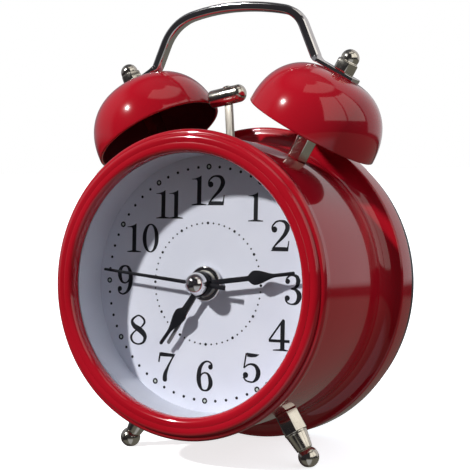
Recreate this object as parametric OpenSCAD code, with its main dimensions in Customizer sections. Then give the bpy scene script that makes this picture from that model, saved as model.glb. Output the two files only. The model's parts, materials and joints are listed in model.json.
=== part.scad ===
// Twin bell alarm clock: a round case that leans back on two turned feet and its rear band.
// Every piece is drawn in the clock's own frame, with the dial face at y = 0, the front
// towards -y and the hand axis along y. The last lines lean it back and stand it on z = 0.

/* [Case] */
// Outside diameter of the drum
case_d = 79.6; // [78:0.2:82]
// Thickness of the case sheet
case_wall = 0.8; // [0.6:0.1:1]
// Reach of the drum in front of the dial face
case_front = 10.4; // [9.8:0.1:10.8]
// Straight length of the drum behind the dial face
case_straight = 24.2; // [23:0.2:28]
// Length of the cove between the drum and the rear band
cove_len = 5; // [4:0.2:8]
// Outside diameter of the rear band
band_d = 90.4; // [89.6:0.2:94]
// Straight length of the rear band
band_len = 7.2; // [6:0.2:10]
// Length of the tapered rear edge of the band
band_edge = 2.1; // [1.5:0.1:3]
// Diameter at the end of that edge
band_edge_d = 88.8; // [88:0.2:89.4]

/* [Bezel] */
// Outside diameter of the bezel over its bead
bezel_d = 81.6; // [81.4:0.1:83]
// Diameter of the bezel's opening
bezel_open_d = 68.8; // [66:0.2:76]
// Reach of the bezel's crest in front of the dial face
bezel_front = 14.5; // [14:0.1:17]
// Distance of the bezel's rear edge in front of the dial face
bezel_rear = 6.5; // [5:0.1:8]
// Radius of the bead round the outside, as a share of the bezel's border
bezel_bead_share = 0.13; // [0.1:0.01:0.15]
// Thickness of the skirt that grips the drum
bezel_skirt = 0.5; // [0.4:0.05:0.55]

/* [Lens and dial] */
// Share of the ledge inside the bezel that the lens covers
lens_share = 0.32; // [0.25:0.01:0.4]
// Thickness of the lens
lens_t = 1.2; // [1:0.1:1.6]
// Distance of the lens's front in front of the dial face
lens_front = 11.3; // [11:0.1:11.6]
// Inside diameter of the white ring where it meets the dial
ring_d = 69.4; // [66:0.2:70]
// Wall of the white ring
ring_wall = 1; // [0.8:0.1:1.4]
// Thickness of the dial plate
dial_t = 0.6; // [0.4:0.1:0.8]
// Diameter of the round nut on the dial
dial_nut_d = 9.6; // [8.4:0.1:10]
// Height of the round nut
dial_nut_h = 1.5; // [1.2:0.1:1.8]

/* [Hands] */
// Diameter of the round collet of each hand
collet_d = 6.8; // [5.4:0.1:7.6]
// Hour shown at rest
shown_hour = 7; // [0:1:11]
// Minute shown at rest
shown_minute = 13; // [0:1:59]
// Second shown at rest
shown_second = 46; // [0:1:59]
// Alarm time shown at rest, in hours
shown_alarm = 7.09; // [0:0.01:11.99]
// Length of the hour hand
hour_len = 21; // [16:0.2:22]
// Length of the minute hand
minute_len = 28.2; // [24:0.2:30]
// Length of the second hand
second_len = 30.6; // [24:0.2:32]
// Tail of the second hand
second_tail = 8.2; // [5:0.2:10]
// Length of the alarm hand
alarm_len = 19.7; // [14:0.2:22]
// Thickness of a hand
hand_t = 0.35; // [0.25:0.05:0.45]
// Pitch from one hand to the next along the axis
hand_pitch = 0.8; // [0.7:0.05:1]
// Width of the spade hands across the spade
spade_w = 3.8; // [3:0.1:4.2]
// Diameter of the ball cap on the hands
cap_d = 6.2; // [5:0.1:6.6]

/* [Bells] */
// Lean of each bell away from upright, in degrees
bell_angle = 30; // [29:0.5:33]
// Depth of the bells behind the dial face
bell_y = 13.2; // [12.6:0.1:14]
// Distance from the hand axis to the rim of a bell
bell_reach = 48.1; // [48:0.1:52]
// Radius of a bell at its rim
bell_r = 18.7; // [17:0.1:18.8]
// Height of a bell
bell_h = 17; // [14:0.1:20]
// Thickness of a bell's wall
bell_wall = 0.9; // [0.7:0.1:1.4]
// Fullness of the bell's curve, 2 being an ellipse
bell_full = 2.25; // [2:0.05:2.6]
// Radius of the flat crown of a bell
bell_crown_r = 3.2; // [3:0.1:3.6]
// Width across flats of a bell post
post_af = 5.4; // [4.6:0.1:5.6]
// Diameter of the stud on posts and feet
stud_d = 3; // [2.6:0.1:3.2]
// Width across flats of the nuts
nut_af = 5.5; // [5:0.1:6]
// Height of the hexagon of a cap nut
cap_nut_hex_h = 3; // [2.4:0.1:3.4]
// Height of a cap nut
cap_nut_h = 6.4; // [6:0.1:7]
// Height of an inner nut
nut_h = 2.4; // [2:0.1:2.6]

/* [Handle] */
// Thickness of the handle's bow
bow_t = 2.5; // [2:0.1:2.8]
// Width of the bow
bow_w = 3.4; // [3:0.1:3.8]
// Thickness of the handle's flat ends
tab_t = 1.2; // [1:0.1:1.6]
// Width of the flat ends
tab_w = 5; // [4.2:0.1:6]
// Reach of the flat end past the cap nut
tab_out = 4.6; // [3.6:0.1:6]
// Distance from the cap nut in to the bend
tab_in = 7.5; // [7:0.1:8.2]
// Radius of the bend at the bell
tab_bend_r = 3; // [2.2:0.1:4]
// Inward lean of the leg of the handle, in degrees
leg_lean = 23; // [20:1:27]
// Straight length of the leg
leg_len = 9.4; // [8:0.2:12]
// Radius of the shoulder
shoulder_r = 8.2; // [6:0.2:10]
// Slope of the top where it meets the shoulder, in degrees
top_slope = 13; // [10:1:16]

/* [Feet] */
// Angle of a foot away from straight down, in degrees
foot_angle = 32; // [28:0.5:36]
// Depth of the feet behind the dial face
foot_y = 6.75; // [6.6:0.05:9]
// Distance from the hand axis to the centre of the ball
foot_reach = 52.9; // [51.5:0.1:56]
// Radius of the ball
foot_ball_r = 2.8; // [2.4:0.05:3]
// Width across flats of the foot's hexagon
foot_af = 6.2; // [5:0.1:6.6]
// Length of the hexagon
foot_hex_len = 6.1; // [4:0.1:6.5]
// Diameter of the foot's thin end, at the ball
foot_neck_d = 4.4; // [3.6:0.1:4.6]
// Height of the worn flat under a ball
foot_flat = 0.25; // [0.15:0.05:0.4]

/* [Hammer] */
// Height of the hammer's pivot above the hand axis
hammer_pivot = 31; // [30.5:0.1:31.5]
// Distance from the pivot to the centre of the head
hammer_len = 21.6; // [21:0.1:22.4]
// Lean of the hammer at rest, in degrees
hammer_lean = 4.5; // [3:0.1:4.6]
// Length of the hammer head
head_len = 11; // [10:0.1:11.2]
// Diameter of the hammer head
head_d = 5; // [4.4:0.1:5.2]
// Tilt of the head on its arm, in degrees
head_tilt = 5; // [2:1:6]
// Width of the flat arm
arm_w = 2.2; // [1.8:0.1:2.6]
// Thickness of the flat arm
arm_t = 1.2; // [1:0.1:1.4]
// Diameter of the pivot pin
pivot_d = 2; // [1.6:0.1:2.2]

/* [Movement] */
// Half width of the movement housing
move_half_w = 24; // [24:0.1:25]
// Height of the housing above the hand axis
move_top = 16; // [15.6:0.1:16.2]
// Depth of the housing below the hand axis
move_bottom = 22; // [21.5:0.1:24]
// Wall of the housing
move_wall = 1.5; // [1.2:0.1:1.7]
// Thickness of a wheel
gear_t = 1; // [0.8:0.05:1.1]
// Clear space between one layer of wheels and the next
layer_gap = 0.75; // [0.6:0.05:0.8]
// Diameter of the setting stems
stem_d = 2.4; // [2:0.1:2.5]
// Diameter of a setting knob
knob_d = 11; // [9:0.1:13]
// Height of a setting knob
knob_h = 6; // [4:0.1:8]
// Diameter of the battery
battery_d = 14.5; // [13.5:0.1:14.5]
// Length of the battery with its button
battery_len = 50.5; // [44:0.1:50.5]
// Height of the battery below the hand axis
battery_drop = 16; // [15.6:0.1:16.2]

/* [Ringer] */
// Teeth of the crank wheel
crank_teeth = 24; // [20:1:24]
// Module of the crank wheel and the motor pinion
crank_module = 0.4; // [0.35:0.01:0.4]
// Distance from the hammer's pivot down to the crank
crank_drop = 8.5; // [8.2:0.1:8.8]
// Throw of the crank pin
crank_throw = 1.3; // [1:0.1:1.4]
// Diameter of the motor
motor_d = 12.4; // [10:0.1:12.6]
// Length of the motor
motor_len = 15; // [12:0.1:15.2]

/* [Back] */
// Diameter of the back cover
cover_d = 88; // [87.4:0.1:88.4]
// Thickness of the back cover
cover_t = 2.4; // [2.2:0.1:3]
// Travel of the alarm switch
switch_travel = 5; // [3:0.1:6]
// Height of the alarm switch above the hand axis
switch_z = 24; // [22:0.1:27]

/* [Fits] */
// Radial clearance of a running fit
run_fit = 0.06; // [0.03:0.01:0.09]
// Radial clearance of a pushed or screwed fit
push_fit = 0.02; // [0.01:0.01:0.04]
// Clearance between loose neighbours
loose = 0.3; // [0.25:0.01:0.35]

/* [Hidden] */
$fn = 96;
arc_steps = 12;

// Colours
red = [0.72, 0.05, 0.09];
chrome = [0.80, 0.80, 0.82];
nickel = [0.68, 0.66, 0.62];
steel = [0.45, 0.43, 0.40];
white = [0.92, 0.92, 0.94];
black = [0.06, 0.06, 0.07];
grey = [0.55, 0.56, 0.58];
brass = [0.78, 0.63, 0.30];
copper = [0.72, 0.42, 0.22];
green = [0.10, 0.35, 0.20];
cream = [0.86, 0.84, 0.78];

// Case profile
case_r = case_d / 2;
case_in_r = case_r - case_wall;
band_r = band_d / 2;
band_edge_r = band_edge_d / 2;
band_y = case_straight + cove_len;
band_end_y = band_y + band_len;
case_end_y = band_end_y + band_edge;
cove_rise = band_r - case_r;
cove_stop = acos(case_wall / (cove_rise + case_wall));

// Bezel profile
bezel_r = bezel_d / 2;
bezel_open_r = bezel_open_d / 2;
bezel_seat_r = case_r + push_fit;
bezel_skirt_r = bezel_seat_r + bezel_skirt;
bezel_border = bezel_r - bezel_open_r;
bezel_bead_r = bezel_bead_share * bezel_border;
bead_r = bezel_r - bezel_bead_r;
bead_y = -(bezel_front - 2.5);
bead_from = acos(max(-1, min(1, (bezel_skirt_r - bead_r) / bezel_bead_r)));
bead_to = 120;
dome_half_w = 0.32 * bezel_border;
dome_h = 1.7;
dome_r = bezel_open_r + 0.455 * bezel_border;
dome_y = -(bezel_front - dome_h);
dome_to = 150;
lip_t = 0.8;
lens_r = bezel_open_r + lens_share * (bezel_seat_r - bezel_open_r);
recess_r = lens_r + loose / 2;
groove_in = recess_r + 0.25 * (bezel_seat_r - recess_r);
groove_w = 0.38 * (bezel_seat_r - recess_r);
groove_wall = 0.9;

// Lens, ring, dial
lens_back = lens_front - lens_t;
ring_r = ring_d / 2;
ring_flare = 0.3;
ring_front_r = ring_r + ring_flare;
ring_flange_t = 1;
inside_r = case_in_r - loose;
seat_t = 0.8;
seat_w = 3.5;
seat_skirt = 1.8;

// Concentric arbors: second inside minute inside hour inside alarm inside the neck
arbor_wall = 0.5;
second_r = 0.5;
minute_in = second_r + run_fit;
minute_r = minute_in + arbor_wall;
hour_in = minute_r + run_fit;
hour_r = hour_in + arbor_wall;
alarm_in = hour_r + run_fit;
alarm_r = alarm_in + arbor_wall;
neck_in = alarm_r + run_fit;
neck_wall = 1.2;
neck_r = neck_in + neck_wall;
dial_hole_r = neck_r + push_fit;

// Hand planes, counted out from the dial nut
hand_proud = 0.1;
alarm_hand_y = -(dial_nut_h + 0.7);
hour_hand_y = alarm_hand_y - hand_pitch;
minute_hand_y = hour_hand_y - hand_pitch;
second_hand_y = minute_hand_y - hand_pitch;
second_angle = shown_second * 6;
minute_angle = (shown_minute + shown_second / 60) * 6;
hour_angle = (shown_hour + minute_angle / 360) * 30;
alarm_angle = shown_alarm * 30;
collet_r = collet_d / 2;
cap_r = cap_d / 2;
cap_sink = 0.7;

// Wheels, all about axes along y
plate_t = 1.5;
move_front_y = dial_t + 1.6;
plate_in_y = move_front_y + plate_t;
first_layer = 0.5;
function layer(i) = plate_in_y + first_layer + i * (gear_t + layer_gap);
pinion_extra = 0.15;
motion_module = 0.5;
cannon_teeth = 10;
motion_teeth = 30;
motion_pinion_teeth = 8;
hour_teeth = 32;
stem_reach = motion_module * (cannon_teeth + motion_teeth) / 2;
stem_angle = 30;
alarm_teeth = 36;
alarm_pinion_teeth = 12;
alarm_module = 2 * stem_reach / (alarm_teeth + alarm_pinion_teeth);
centre_teeth = 64;
third_pinion_teeth = 8;
centre_module = 0.24;
third_reach = centre_module * (centre_teeth + third_pinion_teeth) / 2;
third_teeth = 60;
second_pinion_teeth = 8;
third_module = 2 * third_reach / (third_teeth + second_pinion_teeth);
second_teeth = 60;
second_module = 0.216;
stem_x = stem_reach * cos(stem_angle);
stem_z = stem_reach * sin(stem_angle);
stem_r = stem_d / 2;
pivot_r = 0.7;
fine_arbor_r = 0.5;
third_boss_r = 1.5;

// Movement housing
rear_plate_y = layer(5) + gear_t + 1.2;
move_back_y = rear_plate_y + plate_t;
boss_r = 6;
screw_x = move_half_w - move_wall - 1;
screw_top_z = move_top - move_wall - 1.5;
screw_low_z = -3.5;
screw_post_r = 1.9;
small_screw_r = 0.9;
small_head_r = 1.7;
small_head_h = 1;
small_screw_len = 4.5;
board_t = 0.8;
board_y = rear_plate_y - board_t;
can_r = 2.6;
can_h = 1.6;
second_tip_r = second_module * (second_teeth / 2 + 0.6);
can_reach = second_tip_r + 0.35 + can_r;
can_angle = -35;
can_x = can_reach * cos(can_angle);
can_z = can_reach * sin(can_angle);
coil_r = 2.6;
coil_core_r = 1.3;
coil_len = 13;
coil_bare = 1.5;
board_gap = 3;
crystal_r = 1;
crystal_len = 6;

// Battery tray on the rear housing
battery_r = battery_d / 2;
button_r = 2.75;
button_h = 1.3;
tray_wall = 1.3;
tray_half_h = battery_r + 0.4;
contact_gap = 2;
contact_t = 0.4;
tray_half_l = battery_len / 2 + contact_gap;
tray_floor_y = move_back_y + 2.4;
battery_y = tray_floor_y + battery_r;
tray_end_y = battery_y + 0.8 * battery_r;

// Back cover, its posts, door and switch
cover_r = cover_d / 2;
cover_rim = 1.1;
cover_y = case_end_y + cover_rim;
cover_back_y = cover_y + cover_t;
spigot_r = band_edge_r - case_wall - loose / 2;
spigot_len = 4.5;
spigot_wall = 1.4;
cover_post_r = 3;
cover_post_x = 20;
cover_post_z = 6;
low_post_z = -(battery_drop + tray_half_h + tray_wall + cover_post_r - 0.6);
screw_r = 1.2;
screw_head_r = 2.3;
screw_head_h = 1.4;
screw_len = 8;
door_half_h = battery_r + 0.95;
door_half_w = tray_half_l;
door_pivot_r = cover_t / 2;
door_pivot_z = -(battery_drop + door_half_h) + door_pivot_r;
door_pivot_y = cover_y + cover_t / 2;
door_pin_r = 0.7;
door_pin_len = 1.5;
nub_w = 4;
nub_h = 2.6;
nub_out = 2;
slider_w = 12;
slider_h = 5;
slider_t = 1.2;
slider_gap = 0.2;
switch_half_w = slider_w / 2 + switch_travel / 2 + 1.5;
switch_lip = 1.7;
switch_depth = 4;
knob_gap = 0.6;
knob_y = cover_back_y + knob_gap;
knob_cap = 1.5;
stem_end_y = knob_y + knob_h - knob_cap;

// Bells, posts and handle
bell_in_top = bell_reach + bell_h - bell_wall;
bell_top = bell_reach + bell_h;
nut_seat = bell_top + tab_t;
stud_r = stud_d / 2;
stud_hole_r = stud_r + push_fit;
stud_in = 5;
tab_plane = bell_top + tab_t / 2;
tab_heading = 180 - bell_angle;
leg_heading = 90 + leg_lean;
top_heading = 180 - top_slope;
function forward(h) = [cos(h), sin(h)];
function left_of(h) = [-sin(h), cos(h)];
tab_mid = tab_plane * [sin(bell_angle), cos(bell_angle)];
bend_start = tab_mid + tab_in * forward(tab_heading);
bend_c = bend_start - tab_bend_r * left_of(tab_heading);
leg_start = bend_c + tab_bend_r * left_of(leg_heading);
leg_end = leg_start + leg_len * forward(leg_heading);
shoulder_c = leg_end + shoulder_r * left_of(leg_heading);
shoulder_end = shoulder_c - shoulder_r * left_of(top_heading);
top_r = shoulder_end[0] / sin(top_slope);
top_c = shoulder_end + top_r * left_of(top_heading);
function steps(a, b) = [for (i = [0 : arc_steps]) a + (b - a) * i / arc_steps];
// The flat end thickens into the bow along the bend
function bend_t(h) = tab_t + (bow_t - tab_t) * (h - tab_heading) / (leg_heading - tab_heading);
// The bow's root narrows inside the flat end
root_t = 0.6 * tab_t;
// Half of the bow's middle line, as [point, heading, thickness]
bow_half = concat(
  [[tab_mid, tab_heading, root_t]],
  [for (h = steps(tab_heading, leg_heading)) [bend_c + tab_bend_r * left_of(h), h, bend_t(h)]],
  [for (h = steps(leg_heading, top_heading)) [shoulder_c - shoulder_r * left_of(h), h, bow_t]],
  [for (h = steps(top_heading, 180)) [top_c - top_r * left_of(h), h, bow_t]]
);
function bow_side(k) = [for (p = bow_half) p[0] + k * p[2] * left_of(p[1])];
function mirrored(pts) = [for (i = [len(pts) - 1 : -1 : 0]) [-pts[i][0], pts[i][1]]];

// Feet
foot_hex_end = case_r + foot_hex_len;
foot_z = -foot_reach * cos(foot_angle);
foot_taper = 0.95;
foot_shoulder = 0.5;
foot_neck_at = foot_reach - 0.8 * foot_ball_r;
foot_cone_len = foot_neck_at - foot_hex_end - foot_shoulder;

// Ringer, placed from the bells' plane
slot_half_w = arm_w / 2 + (case_r - hammer_pivot) * tan(hammer_lean) + 0.8;
slot_half_t = arm_t / 2 + 0.9;
hub_r = pivot_d / 2 + 1.5;
hub_half = arm_t / 2 + 0.6;
pin_r = pivot_d / 2;
crank_y = bell_y + hub_half + 0.6;
crank_t = 1.2;
crank_web = 0.3 * crank_t;
bracket_y = crank_y + crank_t + 1;
bracket_t = 1.2;
crank_z = hammer_pivot - crank_drop;
crank_pin_r = 0.55;
crank_axle_r = 0.9;
fork_half = crank_throw + crank_pin_r + crank_drop * sin(hammer_lean) + loose;
fork_prong = 1.3;
fork_root = crank_drop - crank_throw - crank_pin_r - 1.8;
fork_end = crank_drop + 3;
motor_teeth = 8;
motor_x = crank_module * (crank_teeth + motor_teeth) / 2;
motor_r = motor_d / 2;
motor_shaft_r = 0.6;
motor_screw_reach = 4;
ear_half_w = 4;
ear_out = sqrt(pow(case_in_r, 2) - pow(ear_half_w, 2)) - 0.05;
ear_in = ear_out - bracket_t;
ear_reach = 4.2;
ear_front_y = bell_y - ear_reach;
bracket_apron = 6;
bracket_low = crank_z - bracket_apron;
rivet_r = 0.8;
rivet_cap_r = 1.3;
rivet_cap_h = 0.3;
head_edge = 0.36 * head_d;

// Lean of the clock on its two feet and its rear band
rest_y = band_end_y;
rest_span = norm([rest_y - foot_y, -band_r - foot_z]);
lean = atan2(-band_r - foot_z, rest_y - foot_y) + asin((foot_ball_r - foot_flat) / rest_span);
lift = rest_y * sin(lean) + band_r * cos(lean);
front_most = -bezel_front * cos(lean) - dome_r * sin(lean);
rear_most = (knob_y + knob_h) * cos(lean) + (stem_z + knob_d / 2) * sin(lean);
shift = -(front_most + rear_most) / 2;

module stand() {
  translate([0, shift, lift]) rotate([-lean, 0, 0]) children();
}

// Shapes about the y axis
module spun(pts) {
  rotate([-90, 0, 0]) rotate_extrude() polygon(pts);
}
module disc(r, y0, y1, x = 0, z = 0) {
  translate([x, y0, z]) rotate([-90, 0, 0]) cylinder(r = r, h = y1 - y0);
}
module slab(t, y) {
  translate([0, y + t, 0]) rotate([90, 0, 0]) linear_extrude(t) children();
}
module block(x0, x1, y0, y1, z0, z1) {
  translate([x0, y0, z0]) cube([x1 - x0, y1 - y0, z1 - z0]);
}
// Turns a shape that stands along z to point outwards, an angle from upright, in a plane of depth y
module outward(angle, y) {
  translate([0, y, 0]) rotate([0, angle, 0]) children();
}
module hexagon(af, h) {
  cylinder(d = af / cos(30), h = h, $fn = 6);
}
// Toothed wheel with slim teeth, one of them at the given direction in the dial's plane
function tooth_ring(n, m) = [
  for (i = [0 : n - 1])
    for (p = [[-0.9, -0.24], [0.6, -0.09], [0.6, 0.09], [-0.9, 0.24]])
      m * (n / 2 + p[0]) * [cos(360 * (i + p[1]) / n), sin(360 * (i + p[1]) / n)]
];
module gear(n, m, y, t, x = 0, z = 0, tooth_at = 0) {
  translate([x, y + t, z]) rotate([90, 0, 0]) rotate([0, 0, tooth_at])
    linear_extrude(t) polygon(tooth_ring(n, m));
}
module pinion(n, m, y, x = 0, z = 0, tooth_at = 0) {
  gear(n, m, y - pinion_extra, gear_t + 2 * pinion_extra, x, z, tooth_at);
}
function gap_at(direction, n) = direction + 180 / n;

// Case
function cove(grow, to) = [
  for (i = [0 : arc_steps])
    let (a = to * i / arc_steps)
      [band_r - (cove_rise + grow) * cos(a), case_straight + (cove_len + grow) * sin(a)]
];
function reversed(pts) = [for (i = [len(pts) - 1 : -1 : 0]) pts[i]];
module case_drum() {
  color(red) difference() {
    spun(concat(
      [[case_r, -case_front]],
      cove(0, 90),
      [[band_r, band_end_y], [band_edge_r, case_end_y], [band_edge_r - case_wall, case_end_y]],
      [[band_r - case_wall, band_end_y - case_wall / 2]],
      reversed(cove(case_wall, cove_stop)),
      [[case_in_r, -case_front]]
    ));
    for (s = [-1, 1]) {
      outward(s * bell_angle, bell_y) cylinder(r = stud_hole_r, h = band_r);
      outward(180 - s * foot_angle, foot_y) cylinder(r = stud_hole_r, h = band_r);
    }
    block(-slot_half_w, slot_half_w, bell_y - slot_half_t, bell_y + slot_half_t, hammer_pivot, band_r);
  }
}
function bead() = [
  for (a = steps(-bead_from, bead_to)) [bead_r + bezel_bead_r * cos(a), bead_y - bezel_bead_r * sin(a)]
];
function dome() = [
  for (a = steps(0, dome_to)) [dome_r + dome_half_w * cos(a), dome_y - dome_h * sin(a)]
];
module bezel() {
  color(red) difference() {
    spun(concat(
      [[bezel_skirt_r, -bezel_rear]],
      bead(),
      dome(),
      [[bezel_open_r, -lens_front - lip_t], [bezel_open_r, -lens_front], [recess_r, -lens_front]],
      [[recess_r, -case_front], [bezel_seat_r, -case_front], [bezel_seat_r, -bezel_rear]]
    ));
    spun([
      [groove_in, -case_front + 1], [groove_in + groove_w, -case_front + 1],
      [groove_in + groove_w, dome_y - groove_wall], [groove_in, dome_y - groove_wall]
    ]);
  }
}
module lens() {
  color([0.9, 0.95, 1, 0.3]) disc(lens_r, -lens_front, -lens_back);
}
module reflector_ring() {
  color(white) spun([
    [ring_front_r, -lens_back], [inside_r, -lens_back], [inside_r, -lens_back + ring_flange_t],
    [ring_front_r + ring_wall, -lens_back + ring_flange_t], [ring_r + ring_wall, 0], [ring_r, 0]
  ]);
}
module dial() {
  color(white) difference() {
    disc(inside_r, 0, dial_t);
    disc(dial_hole_r, -1, dial_t + 1);
  }
}
module dial_ring() {
  out_r = case_in_r - push_fit;
  color(grey) spun([
    [out_r - seat_w, dial_t], [out_r, dial_t], [out_r, dial_t + seat_t + seat_skirt],
    [out_r - seat_t, dial_t + seat_t + seat_skirt], [out_r - seat_t, dial_t + seat_t],
    [out_r - seat_w, dial_t + seat_t]
  ]);
}
module dial_nut() {
  chamfer = 0.4;
  color(chrome) difference() {
    spun([
      [0, -dial_nut_h], [dial_nut_d / 2 - chamfer, -dial_nut_h], [dial_nut_d / 2, -dial_nut_h + chamfer],
      [dial_nut_d / 2, 0], [0, 0]
    ]);
    disc(neck_r + push_fit, -dial_nut_h - 1, 1);
  }
}

// Bells, posts, nuts and handle
function bell_curve(r, h) = [
  for (a = steps(0, 90))
    [bell_crown_r + (r - bell_crown_r) * pow(max(0, cos(a)), 2 / bell_full), h * pow(sin(a), 2 / bell_full)]
];
module bell(side) {
  color(red) outward(side * bell_angle, bell_y) translate([0, 0, bell_reach]) difference() {
    rotate_extrude() polygon(concat(
      bell_curve(bell_r, bell_h),
      [[0, bell_h], [0, bell_h - bell_wall]],
      reversed(bell_curve(bell_r - bell_wall, bell_h - bell_wall))
    ));
    cylinder(r = stud_hole_r, h = bell_h + 1);
  }
}
module bell_left() { bell(-1); }
module bell_right() { bell(1); }
module bell_post(side) {
  color(nickel) outward(side * bell_angle, bell_y) {
    translate([0, 0, case_r]) hexagon(post_af, bell_in_top - case_r);
    translate([0, 0, case_r - stud_in])
      cylinder(r = stud_r, h = nut_seat + cap_nut_hex_h - case_r + stud_in);
  }
}
module bell_post_left() { bell_post(-1); }
module bell_post_right() { bell_post(1); }
module cap_nuts() {
  dome_ball = nut_af / 2 - 0.25;
  color(chrome) for (s = [-1, 1]) outward(s * bell_angle, bell_y) translate([0, 0, nut_seat]) difference() {
    union() {
      hexagon(nut_af, cap_nut_hex_h);
      cylinder(r = dome_ball, h = cap_nut_h - dome_ball);
      translate([0, 0, cap_nut_h - dome_ball]) sphere(r = dome_ball);
    }
    translate([0, 0, -1]) cylinder(r = stud_hole_r, h = cap_nut_hex_h + 1.3);
  }
}
module handle() {
  outside = bow_side(-0.5);
  inside = bow_side(0.5);
  color(chrome) difference() {
    union() {
      slab(bow_w, bell_y - bow_w / 2)
        polygon(concat(outside, mirrored(outside), reversed(mirrored(inside)), reversed(inside)));
      outward(bell_angle, bell_y) block(-tab_in, tab_out, -tab_w / 2, tab_w / 2, bell_top, nut_seat);
      outward(-bell_angle, bell_y) block(-tab_out, tab_in, -tab_w / 2, tab_w / 2, bell_top, nut_seat);
    }
    for (s = [-1, 1]) outward(s * bell_angle, bell_y) cylinder(r = stud_hole_r, h = nut_seat + 1);
  }
}
module foot(side) {
  difference() {
    outward(180 - side * foot_angle, foot_y) {
      translate([0, 0, case_r]) hexagon(foot_af, foot_hex_len);
      translate([0, 0, foot_hex_end]) cylinder(d1 = foot_af, d2 = foot_taper * foot_af, h = foot_shoulder);
      translate([0, 0, foot_hex_end + foot_shoulder])
        cylinder(d1 = foot_taper * foot_af, d2 = foot_neck_d, h = foot_cone_len);
      translate([0, 0, foot_neck_at]) cylinder(d = foot_neck_d - 0.8, h = foot_reach - foot_neck_at);
      translate([0, 0, foot_reach]) sphere(r = foot_ball_r);
      translate([0, 0, case_r - stud_in]) cylinder(r = stud_r, h = stud_in + 1);
    }
    rotate([lean, 0, 0]) translate([-band_r, -band_r, -lift - band_r])
      cube([2 * band_r, 2 * band_r, band_r]);
  }
}
module foot_left() { color(nickel) foot(-1); }
module foot_right() { color(nickel) foot(1); }
module inner_nut(seat) {
  translate([0, 0, seat - nut_h]) difference() {
    hexagon(nut_af, nut_h);
    translate([0, 0, -1]) cylinder(r = stud_hole_r, h = nut_h + 2);
  }
}
module inner_nuts() {
  corner = nut_af / 2 / cos(30);
  wall_seat = sqrt(pow(case_in_r, 2) - pow(corner, 2)) - 0.02;
  color(steel) for (s = [-1, 1]) {
    outward(s * bell_angle, bell_y) inner_nut(ear_in);
    outward(180 - s * foot_angle, foot_y) inner_nut(wall_seat);
  }
}

// Movement
module at_screws(y) {
  for (s = [-1, 1])
    for (z = [screw_top_z, screw_low_z])
      translate([s * screw_x, y, z]) rotate([-90, 0, 0]) children();
}
module movement_front() {
  color(cream) difference() {
    union() {
      difference() {
        block(-move_half_w, move_half_w, move_front_y, rear_plate_y, -move_bottom, move_top);
        block(
          -move_half_w + move_wall, move_half_w - move_wall, plate_in_y, rear_plate_y + 1,
          -move_bottom + move_wall, move_top - move_wall
        );
      }
      disc(boss_r, dial_t, move_front_y);
      disc(neck_r, -dial_nut_h, dial_t + 1);
      at_screws(plate_in_y) cylinder(r = screw_post_r, h = rear_plate_y - plate_in_y);
    }
    disc(neck_in, -dial_nut_h - 1, plate_in_y + 1);
    for (s = [-1, 1]) disc(pivot_r + run_fit, plate_in_y - 1, plate_in_y + 1, s * stem_x, stem_z);
    at_screws(rear_plate_y - small_screw_len - loose)
      cylinder(r = small_screw_r + push_fit, h = small_screw_len + 1);
  }
}
module movement_rear() {
  color(cream) difference() {
    union() {
      block(-move_half_w, move_half_w, rear_plate_y, move_back_y, -move_bottom, move_top);
      disc(third_boss_r, layer(5) + gear_t + 0.4, rear_plate_y, 0, -third_reach);
      difference() {
        block(
          -tray_half_l - tray_wall, tray_half_l + tray_wall, move_back_y, tray_end_y,
          -battery_drop - tray_half_h - tray_wall, -battery_drop + tray_half_h + tray_wall
        );
        block(
          -tray_half_l, tray_half_l, tray_floor_y, tray_end_y + 1,
          -battery_drop - tray_half_h, -battery_drop + tray_half_h
        );
      }
      for (s = [-1, 1]) disc(cover_post_r, rear_plate_y + 0.5, cover_y, s * cover_post_x, cover_post_z);
      disc(cover_post_r, tray_floor_y, cover_y, 0, low_post_z);
    }
    disc(second_r + run_fit, rear_plate_y - 1, move_back_y - 0.3);
    disc(fine_arbor_r + run_fit, layer(5), move_back_y - 0.3, 0, -third_reach);
    for (s = [-1, 1]) disc(stem_r + run_fit, rear_plate_y - 1, move_back_y + 1, s * stem_x, stem_z);
    at_screws(rear_plate_y - 1) cylinder(r = small_screw_r + push_fit, h = plate_t + 2);
    for (p = cover_posts()) disc(screw_r + push_fit, cover_y - screw_len, cover_y + 1, p[0], p[1]);
  }
}
function cover_posts() = [[-cover_post_x, cover_post_z], [cover_post_x, cover_post_z], [0, low_post_z]];
module movement_screws() {
  color(steel) at_screws(move_back_y) {
    cylinder(r = small_head_r, h = small_head_h);
    translate([0, 0, -plate_t - small_screw_len])
      cylinder(r = small_screw_r, h = plate_t + small_screw_len + small_head_h / 2);
  }
}
module circuit_board() {
  near = third_boss_r + board_gap;
  edge = move_half_w - move_wall - loose;
  low = -move_bottom + move_wall + loose;
  color(green) {
    block(near, screw_x - screw_post_r - loose, board_y, rear_plate_y, low, can_z + can_r + 0.4);
    block(near, edge, board_y, rear_plate_y, low, screw_low_z - screw_post_r - loose);
  }
}
module stepper_coil() {
  x = move_half_w - move_wall - coil_r - coil_bare;
  low = -move_bottom + move_wall + 1;
  color(copper) translate([x, board_y - coil_r, low]) {
    cylinder(r = coil_core_r, h = coil_len);
    translate([0, 0, coil_bare]) cylinder(r = coil_r, h = coil_len - 2 * coil_bare);
  }
}
module stepper_can() {
  color(nickel) disc(can_r, board_y - can_h, board_y, can_x, can_z);
}
module quartz_crystal() {
  low = -move_bottom + move_wall + crystal_r + 1.5;
  color(nickel) translate([third_boss_r + board_gap + 1, board_y - crystal_r, low]) rotate([0, 90, 0])
    cylinder(r = crystal_r, h = crystal_len);
}
module battery() {
  color(brass) translate([-battery_len / 2, battery_y, -battery_drop]) rotate([0, 90, 0]) {
    cylinder(r = battery_r - 0.05, h = battery_len - button_h);
    cylinder(r = button_r, h = battery_len);
  }
}
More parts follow.
